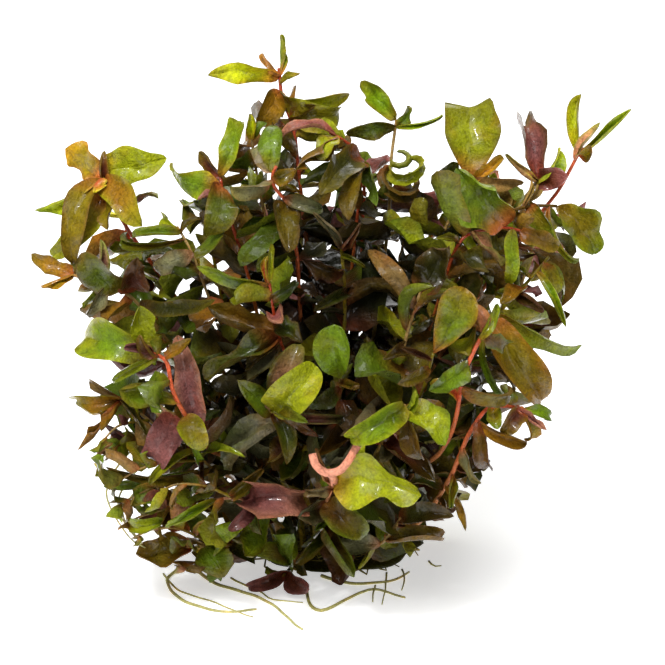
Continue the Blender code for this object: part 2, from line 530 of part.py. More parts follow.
def lean_aside(grown):
    """Stems that would touch lean aside, each by half, and keep their smooth run."""
    names = list(grown)
    owner = np.concatenate([np.full(len(grown[n][2]), i) for i, n in enumerate(names)])
    radius = np.concatenate([np.full(len(grown[n][2]), grown[n][0]) for n in names])
    points = np.concatenate([grown[n][2] for n in names])
    floor = radius + CROWN_HEIGHT + MESH_GAP
    for _ in range(SPACING_ROUNDS):
        gaps = points[:, None, :] - points[None, :, :]
        apart = np.sqrt((gaps**2).sum(axis=2)) + 1e-9
        wanted = radius[:, None] + radius[None, :] + STEM_SPACING
        short = np.clip(wanted - apart, 0, None)
        short[owner[:, None] == owner[None, :]] = 0
        if short.max() < SPACING_SLACK:
            break
        push = (gaps / apart[:, :, None] * short[:, :, None]).sum(axis=1)
        push /= np.maximum((short > 0).sum(axis=1), 1)[:, None]
        for i in range(len(names)):
            mine = owner == i
            moved = push[mine] * SPACING_STRIDE
            for _ in range(3):
                moved[1:-1] = (moved[:-2] + 2 * moved[1:-1] + moved[2:]) / 4
            moved[0, 2] = 0
            points[mine] += moved
            points[np.flatnonzero(mine)[1:], 2] = np.maximum(points[mine, 2], floor[mine])[1:]
    for i, name in enumerate(names):
        grown[name][2] = points[owner == i]


def at_count(line, along, count, back, end):
    """The stem's point at this count along its route, or this many millimetres below it."""
    i = min(int(np.searchsorted(along, count)), len(line) - 1 - end)
    return onto_tube(line, Vector(line[max(i - back, 2)]))


def blade_point(shape, along, across):
    """A point on a leaf's middle surface: along 0 at the base to 1 at the tip, across -1 to 1."""
    base, tip, face = shape["base"], shape["tip"], shape["face"]
    run = tip - base
    length = run.length
    ahead = run / length
    side = ahead.cross(face).normalized()
    turned = Matrix.Rotation(math.radians(shape["twist"]) * (along - 0.5), 3, ahead)
    outward = turned @ side
    upward = turned @ face
    half = shape["width"] / 2 * LEAF_FULLNESS * outline(along)
    bow = 4 * along * (1 - along) * length
    middle = base + run * along + face * shape["arch"] * bow + side * shape["bend"] * bow
    cup = max(shape["cup"], 0.05)
    angle = cup * across
    return middle + (outward * math.sin(angle) + upward * (1 - math.cos(angle))) * half / cup


def outline(along):
    """How wide a leaf is at this share of its length: ovate, with a point at each end."""
    return math.sin(math.pi * min(along, LEAF_POINT) ** LEAF_WIDEST) ** LEAF_ROUNDNESS


def blade_mesh(shape, rows, columns, thickness):
    """A closed leaf: two curved sheets, apart at the midrib and sewn together at the rim."""
    bm = bmesh.new()
    bmesh.ops.create_grid(bm, x_segments=columns, y_segments=rows, size=1)
    bmesh.ops.duplicate(bm, geom=bm.verts[:] + bm.edges[:] + bm.faces[:])
    bm.verts.ensure_lookup_table()
    sheet = len(bm.verts) // 2
    bmesh.ops.reverse_faces(bm, faces=bm.faces[len(bm.faces) // 2 :])
    for i, vert in enumerate(bm.verts):
        across, along = vert.co.x, (vert.co.y + 1) / 2
        rim = abs(across) > 0.99 or along < 0.01 or along > 0.99
        spot = blade_point(shape, along, across)
        if not rim:
            nudge = blade_point(shape, along, across + 0.02) - blade_point(shape, along, across - 0.02)
            reach = blade_point(shape, along + 0.02, across) - blade_point(shape, along - 0.02, across)
            outward = nudge.cross(reach).normalized()
            spot += outward * thickness / 2 * (1 if i < sheet else -1)
        vert.co = spot
    bmesh.ops.remove_doubles(bm, verts=bm.verts[:], dist=0.02)
    return bm


def tube_mesh(line, radii, sides):
    """A closed tube along these points, its ends filled, without turning about its own run."""
    bm = bmesh.new()
    rings = []
    ahead = (Vector(line[1]) - Vector(line[0])).normalized()
    side = ahead.orthogonal().normalized()
    for i, centre in enumerate(line):
        before = Vector(line[max(i - 1, 0)])
        after = Vector(line[min(i + 1, len(line) - 1)])
        ahead = (after - before).normalized()
        side = (side - ahead * side.dot(ahead)).normalized()
        other = ahead.cross(side)
        ring = []
        for k in range(sides):
            turn = 2 * math.pi * k / sides
            ring.append(bm.verts.new(
                Vector(centre) + (side * math.cos(turn) + other * math.sin(turn)) * radii[i]
            ))
        rings.append(ring)
    sew_rings(bm, rings)
    return bm


def sew_rings(bm, rings):
    """Faces between each ring of corners and the next, and one over each end."""
    sides = len(rings[0])
    for low, high in zip(rings, rings[1:]):
        for k in range(sides):
            bm.faces.new((low[k], low[(k + 1) % sides], high[(k + 1) % sides], high[k]))
    bm.faces.new(rings[0][::-1])
    bm.faces.new(rings[-1])


def bends_of(line, first, last):
    """The numbers of the points a run needs to stay within STEM_STRAYING of its curve."""
    if last - first < 2:
        return [first]
    chord = line[last] - line[first]
    chord = chord / np.linalg.norm(chord)
    reach = line[first:last] - line[first]
    strays = np.linalg.norm(reach - np.outer(reach @ chord, chord), axis=1)
    worst = int(strays.argmax())
    if strays[worst] < STEM_STRAYING:
        return [first]
    return bends_of(line, first, first + worst) + bends_of(line, first + worst, last)


def kept_bends(line):
    """The numbers of the points that a stem's tube runs through."""
    last = len(line) - 1
    return [*bends_of(line, 0, last), last]


def onto_tube(line, spot):
    """The point nearest to spot on the straight runs of the stem's tube."""
    bends = [Vector(line[i]) for i in kept_bends(line)]
    nearest = []
    for start, end in zip(bends, bends[1:]):
        share = (spot - start).dot(end - start) / (end - start).length_squared
        nearest.append(start.lerp(end, min(max(share, 0.0), 1.0)))
    return min(nearest, key=lambda point: (point - spot).length)


def grow_stem(entry, extra=0.0):
    """The stem's tube, made thicker by extra."""
    radius, line = entry[0], entry[2]
    last = len(line) - 1
    picked = kept_bends(line)
    radii = [radius * (1 - STEM_TAPER * i / last) + extra for i in picked]
    return tube_mesh(line[picked], radii, STEM_SIDES)


def leaf_shape(row, line, along, radius, back):
    """Where a leaf from the table sits, and how it grew, as no two leaves are alike."""
    spot = at_count(line, along, row["at"], back, 0 if row["own"] else 1)
    tip = place(*row["tip"])
    ahead = (tip - spot).normalized()
    face = VIEW_NEAR - ahead * VIEW_NEAR.dot(ahead)
    draw = random.Random(f"{LEAF_SEED} {row['tip']}")
    turn = row["turn"] + draw.uniform(-1, 1) * (OWN_LEAF_TURN if row["own"] else LEAF_TURN)
    face = Matrix.Rotation(math.radians(turn), 3, ahead) @ face.normalized()
    base = spot + ahead * (radius + OWN_LEAF_GAP if row["own"] else -LEAF_ROOTING)
    shape = dict(row)
    shape.update(base=base, tip=tip, face=face)
    shape["cup"] *= draw.uniform(*LEAF_CUPPING)
    shape["twist"] += draw.uniform(-1, 1) * LEAF_TWIST
    shape["arch"] += draw.uniform(*LEAF_ARCHING)
    shape["bend"] += draw.uniform(-1, 1) * LEAF_BENDING
    return shape


def leaf_pairs(line, shares, seed):
    """Leaf pairs by rule at these shares of a stem: each is turned a quarter from the last."""
    draw = random.Random(seed)
    shapes = []
    turn = draw.uniform(0, math.pi)
    for share in shares:
        i = min(round(share * (len(line) - 1)), len(line) - 2)
        spot = onto_tube(line, Vector(line[i]))
        ahead = (Vector(line[i]) - Vector(line[i - 2])).normalized()
        across = Matrix.Rotation(turn, 3, ahead) @ ahead.orthogonal().normalized()
        for sign in (1, -1):
            lift = draw.uniform(*PAIR_LIFTS)
            way = (across * sign + ahead * lift).normalized()
            length = draw.uniform(*PAIR_LENGTHS) * (PAIR_AT_TIP if share == 1.0 else 1)
            face = ahead - way * ahead.dot(way)
            shapes.append({
                "base": spot - way * LEAF_ROOTING, "tip": spot + way * length,
                "face": face.normalized(),
                "width": length * draw.uniform(*PAIR_WIDTHS), "cup": draw.uniform(*PAIR_CUPS),
                "arch": draw.uniform(*PAIR_ARCHES), "bend": draw.uniform(-1, 1) * PAIR_BENDING,
                "twist": draw.uniform(-1, 1) * PAIR_TWIST, "own": None,
                "hue": draw.choice(BACK_LEAF_HUES),
            })
        turn += math.pi / 2
    return shapes


def tree_of(bm):
    tree = BVHTree.FromBMesh(bm)
    bm.free()
    return tree


def find_room(shape, placed, owner):
    """The leaf, swung about its base until it clears its neighbours, or None if it can't."""
    ahead = (shape["tip"] - shape["base"]).normalized()
    side = ahead.cross(shape["face"]).normalized()
    length = (shape["tip"] - shape["base"]).length
    for swing in LEAF_SWINGS:
        for sway in LEAF_SWAYS:
            turn = Matrix.Rotation(math.radians(swing), 3, side)
            turn = Matrix.Rotation(math.radians(sway), 3, shape["face"]) @ turn
            tried = dict(shape)
            tried["tip"] = shape["base"] + turn @ ahead * length
            tried["face"] = turn @ shape["face"]
            if lowest(tried) < LEAST_LEAF_HEIGHT:
                continue
            tree = tree_of(blade_mesh(tried, *ROOM_GRID, LEAF_THICKNESS + 2 * LEAF_CLEARANCE))
            others = (t for o, t in placed if o != owner)
            if not any(tree.overlap(other) for other in others):
                return tried, tree
    return None


def lowest(shape):
    """The height of the leaf's lowest point over the surface, near enough."""
    return min(blade_point(shape, a, c).z for a in (0.3, 0.6, 1.0) for c in (-1, 0, 1)) - LEAF_SAG


def colour_of(hue):
    """The colour's linear values, from its sRGB hex."""
    parts = [int(COLOURS[hue][i : i + 2], 16) / 255 for i in (0, 2, 4)]
    linear = [c / 12.92 if c <= 0.04045 else ((c + 0.055) / 1.055) ** 2.4 for c in parts]
    return (*linear, 1)


def material_for(hue):
    """Wet plant tissue of this hue."""
    name = f"wet_{hue}"
    found = bpy.data.materials.get(name)
    if found:
        return found
    made = bpy.data.materials.new(name)
    made.use_nodes = True
    shader = made.node_tree.nodes["Principled BSDF"]
    shader.inputs["Base Color"].default_value = colour_of(hue)
    shader.inputs["Roughness"].default_value = WET_ROUGHNESS
    shader.inputs["Metallic"].default_value = 0.0
    made.diffuse_color = colour_of(hue)
    return made


def add_object(name, bm, hue, collection=None):
    """An object in the scene from this mesh, scaled from millimetres to metres."""
    bmesh.ops.scale(bm, vec=(MM, MM, MM), verts=bm.verts[:])
    mesh = bpy.data.meshes.new(name)
    bm.to_mesh(mesh)
    bm.free()
    obj = bpy.data.objects.new(name, mesh)
    mesh.materials.append(material_for(hue))
    (collection or bpy.context.scene.collection).objects.link(obj)
    return obj


def fuse_leaves(stem, shapes):
    """Joins a stem's small leaves to it, as they grew."""
    group = bpy.data.collections.new(f"{stem.name}_leaves")
    bpy.context.scene.collection.children.link(group)
    for i, shape in enumerate(shapes):
        rows = 3 if shape["width"] > LONG_LEAF_WIDTH else 2
        bm = blade_mesh(shape, rows, 2, LEAF_THICKNESS)
        blade = add_object(f"{stem.name}_leaf_{i}", bm, shape["hue"], group)
        blade.hide_render = True
        blade.display_type = "WIRE"
    fuse = stem.modifiers.new("leaves", "BOOLEAN")
    fuse.operation = "UNION"
    fuse.operand_type = "COLLECTION"
    fuse.collection = group
    fuse.solver = "EXACT"


def build_clump():
    """The stems and their leaves: the leaves with names of their own first, the rest after."""
    grown = stem_routes()
    placed = []
    for name, entry in grown.items():
        placed.append((name, tree_of(grow_stem(entry, STEM_CLEARANCE))))
    fused = {name: [] for name in grown}
    rows = []
    for name, (radius, _, line, along, leaves) in grown.items():
        seen = []
        for row in leaves:
            back = seen.count(row["at"]) // 2
            seen.append(row["at"])
            if row["width"] < LEAST_LEAF_WIDTH:
                continue
            shape = leaf_shape(row, line, along, radius, back)
            rows.append((0 if row["own"] else 1, name, shape))
    for number, name in enumerate(grown):
        if name.startswith("back"):
            rows += [(2, name, s) for s in leaf_pairs(grown[name][2], BACK_PAIRS, number)]
        elif name in INNER_STEMS:
            rows += [(3, name, s) for s in leaf_pairs(grown[name][2], INNER_PAIRS, number)]
    for _, name, shape in sorted(rows, key=lambda r: r[0]):
        owner = shape["own"] or name
        found = find_room(shape, placed, owner)
        if not found:
            continue
        settled, tree = found
        placed.append((owner, tree))
        if shape["own"]:
            columns = 4 if settled["width"] > BIG_LEAF_WIDTH else 2
            bm = blade_mesh(settled, OWN_LEAF_ROWS, columns, LEAF_THICKNESS)
            add_object(shape["own"], bm, settled["hue"])
        else:
            fused[name].append(settled)
    for name, entry in grown.items():
        hues = [shape["hue"] for shape in fused[name]] or [entry[1]]
        stem = add_object(name, grow_stem(entry), max(hues, key=hues.count))
        fuse_leaves(stem, fused[name])


def build_crown():
    """The matted crown: a low, uneven pad of roots with a flat underside."""
    bm = bmesh.new()
    draw = random.Random(CROWN_SEED)
    edge = [draw.uniform(*CROWN_UNEVENNESS) for _ in range(CROWN_SIDES)]
    rings = []
    for share, height in CROWN_RINGS:
        ring = []
        for k in range(CROWN_SIDES):
            turn = 2 * math.pi * k / CROWN_SIDES
            ring.append(bm.verts.new((
                CROWN_CENTRE.x + CROWN_HALF_LENGTH * share * edge[k] * math.cos(turn),
                CROWN_CENTRE.y + CROWN_HALF_WIDTH * share * edge[k] * math.sin(turn),
                height,
            )))
        rings.append(ring)
    sew_rings(bm, rings)
    add_object("root_crown", bm, "root")


def build_roots():
    """The trailing roots, each a thin tube on the surface."""
    for name, seen in ROOTS.items():
        points = [on_surface(across, up, ROOT_RADIUS) for across, up in seen]
        line, _ = curve_through(points, ROOT_STEP)
        last = len(line) - 1
        radii = [ROOT_RADIUS * (1 - ROOT_TAPER * i / last) for i in range(last + 1)]
        add_object(name, tube_mesh(line, radii, ROOT_SIDES), "root")


for old in list(bpy.data.objects):
    bpy.data.objects.remove(old, do_unlink=True)
build_clump()
build_crown()
build_roots()
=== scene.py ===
"""Rotala macrandra: a rinsed clump of young plants, lifted whole out of its growing cup.

Every shoot is a thin stem with its leaves in pairs. The shoots rise from one matted crown
of roots, and a few pale roots trail out over the surface. Sizes are in millimetres until a
piece is finished; the object is in metres.
"""

import math
import random

import bmesh
import bpy
import numpy as np
from mathutils import Matrix, Vector, noise
from mathutils.bvhtree import BVHTree


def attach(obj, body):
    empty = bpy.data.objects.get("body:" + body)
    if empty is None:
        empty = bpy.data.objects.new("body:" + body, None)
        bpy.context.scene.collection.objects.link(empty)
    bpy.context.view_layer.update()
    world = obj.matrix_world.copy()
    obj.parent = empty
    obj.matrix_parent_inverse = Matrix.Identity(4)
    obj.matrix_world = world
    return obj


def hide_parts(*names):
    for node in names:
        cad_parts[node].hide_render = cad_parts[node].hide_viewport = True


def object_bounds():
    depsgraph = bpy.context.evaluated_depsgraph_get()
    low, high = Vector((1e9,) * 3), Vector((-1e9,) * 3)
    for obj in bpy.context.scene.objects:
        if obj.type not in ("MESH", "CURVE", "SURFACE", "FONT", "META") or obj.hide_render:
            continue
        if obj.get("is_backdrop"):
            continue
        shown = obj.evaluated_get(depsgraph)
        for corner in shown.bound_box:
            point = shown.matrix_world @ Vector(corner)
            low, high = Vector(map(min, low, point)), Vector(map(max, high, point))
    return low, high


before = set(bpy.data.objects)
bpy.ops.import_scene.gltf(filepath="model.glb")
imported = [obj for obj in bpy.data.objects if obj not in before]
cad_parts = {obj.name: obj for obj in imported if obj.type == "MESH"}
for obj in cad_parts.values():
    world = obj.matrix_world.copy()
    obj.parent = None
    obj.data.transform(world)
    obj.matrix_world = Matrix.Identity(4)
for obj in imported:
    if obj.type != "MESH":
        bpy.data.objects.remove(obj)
cad_low, cad_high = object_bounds()

# The eye and its viewing plane
# The clump is laid out on a plane that leans back by 20 degrees, as the eye sees it. A place
# on it is (across, up, near): to the right, up along the plane, and towards the eye.
MM = 0.001
VIEW_LEAN = math.radians(20)
VIEW_DISTANCE = 415.0
VIEW_WIDTH = 83.125
FILM_WIDTH = 36.0
VIEW_CENTRE = Vector((0.0, 0.0, 29.4))
VIEW_RIGHT = Vector((1, 0, 0))
VIEW_UP = Vector((0, math.sin(VIEW_LEAN), math.cos(VIEW_LEAN)))
VIEW_NEAR = Vector((0, -math.cos(VIEW_LEAN), math.sin(VIEW_LEAN)))


def place(across, up, near):
    """The world point of a place on the viewing plane, narrowed a little the nearer it is."""
    narrowing = 1 - near / VIEW_DISTANCE
    flat = VIEW_RIGHT * across + VIEW_UP * up
    return VIEW_CENTRE + flat * narrowing + VIEW_NEAR * near


def seen_at(point):
    """The place on the viewing plane where the eye sees this world point."""
    reach = point - VIEW_CENTRE
    near = reach.dot(VIEW_NEAR)
    narrowing = 1 - near / VIEW_DISTANCE
    return reach.dot(VIEW_RIGHT) / narrowing, reach.dot(VIEW_UP) / narrowing, near


eye = bpy.data.cameras.new("eye")
eye.sensor_width = FILM_WIDTH
eye.lens = FILM_WIDTH * VIEW_DISTANCE / VIEW_WIDTH
eye_object = bpy.data.objects.new("eye", eye)
eye_object.location = (VIEW_CENTRE + VIEW_NEAR * VIEW_DISTANCE) * MM
eye_object.rotation_euler = (math.radians(90) - VIEW_LEAN, 0, 0)
bpy.context.scene.collection.objects.link(eye_object)
bpy.context.scene.camera = eye_object


# The shoots' tables
# Each shoot is one soft stem of rotala macrandra with its leaves, grown as one piece. A leaf
# is given by where it leaves the stem and by the place of its tip, as the eye sees it.
PLAIN_LEAF = {
    "turn": 0, "cup": 0.6, "arch": 0.08, "bend": 0.0, "twist": 0, "own": None, "rim": None,
    "form": {}, "crowding": False,
}


def leaf(at, tip, width, hue, **habit):
    """One leaf: at counts the stem's route points from 1, own names a leaf kept apart, and
    form holds what is particular to its blade."""
    return {**PLAIN_LEAF, "at": at, "tip": tip, "width": width, "hue": hue, **habit}


# How some blades grew: rolled into a tube, broad at the end, drawn out, or wavy
ROLLED = dict(bluntness=0.16, ruffle=0, curl=0.1, fold=0, lopside=0, crumple=0.05)
QUILL = dict(ROLLED, bluntness=0.4)
FAN = dict(bluntness=0.42, widest=2.1, ruffle=0.15, curl=0.35, fold=0.1, lobes=0.03, light=0.75)
TONGUE = dict(
    bluntness=0.62, widest=0.55, ruffle=0.7, curl=0.3, fold=0.1, waves=1.2, lobes=0.14, light=0.9,
)
WAVY = dict(bluntness=0.6, ruffle=0.75, waves=1.4, curl=-0.5, fold=0.15, lobes=0.1)
RING = dict(bluntness=0.5, ruffle=0.1, curl=4.2, curl_from=0.12, fold=0.3, roll=70)
DRAPED = dict(
    bluntness=0.3, widest=1.5, ruffle=0.3, curl=2.2, curl_from=0.78, fold=0.1, lopside=0,
    hue="lime", cup=0.5, crumple=0.5, rim="olive", light=0.72,
)
BOWL = dict(
    bluntness=0.36, widest=0.9, ruffle=0.35, curl=-0.9, curl_from=0.5, fold=0.2, cup=1.1,
    width=7.0, crumple=0.5, hue="deep", rim="green", light=1.2,
)
BROAD = dict(
    bluntness=0.34, widest=1.2, ruffle=1.0, waves=1.6, width=5.4, fold=0.5, crumple=1.0, curl=1.2,
    light=0.95, facing=0.6,
)
RUFFLED = dict(
    bluntness=0.34, widest=1.0, ruffle=1.8, waves=2.7, curl=1.4, fold=0.5, width=6.4, crumple=1.8,
    hue="purple", light=0.8, cup=0.9, roll=20,
)
SWAYING = dict(
    bluntness=0.42, widest=0.75, ruffle=0.9, waves=0.97, phase=0.33, skew=0.08, lobes=0.36,
    curl=-0.4, fold=0.1, width=5.6, light=0.9,
)
MAUVE = dict(bluntness=0.5, ruffle=0.4, curl=0.4, fold=0.3, light=0.66, facing=0.5, width=3.4)
ROUND = dict(bluntness=0.36, widest=0.9, ruffle=0.45, waves=0.9, curl=0.7, fold=0.2)
HANGING = dict(
    bluntness=0.36, widest=0.8, ruffle=0.4, curl=0.4, fold=0.15, width=3.4, facing=0.8, roll=0,
    cup=0.7, lopside=0,
)
SPREAD = dict(
    bluntness=0.36, widest=0.8, ruffle=0.5, curl=0.4, fold=0.1, width=5.0, facing=0.7, lopside=0,
)
SILVERY = dict(
    bluntness=0.66, ruffle=0.8, waves=1.7, curl=0.5, fold=0.5, light=1.0, hue="olive", rim="green",
)
BUD = dict(bluntness=0.4, widest=1.1, ruffle=0, curl=0.3, fold=0, lopside=0)

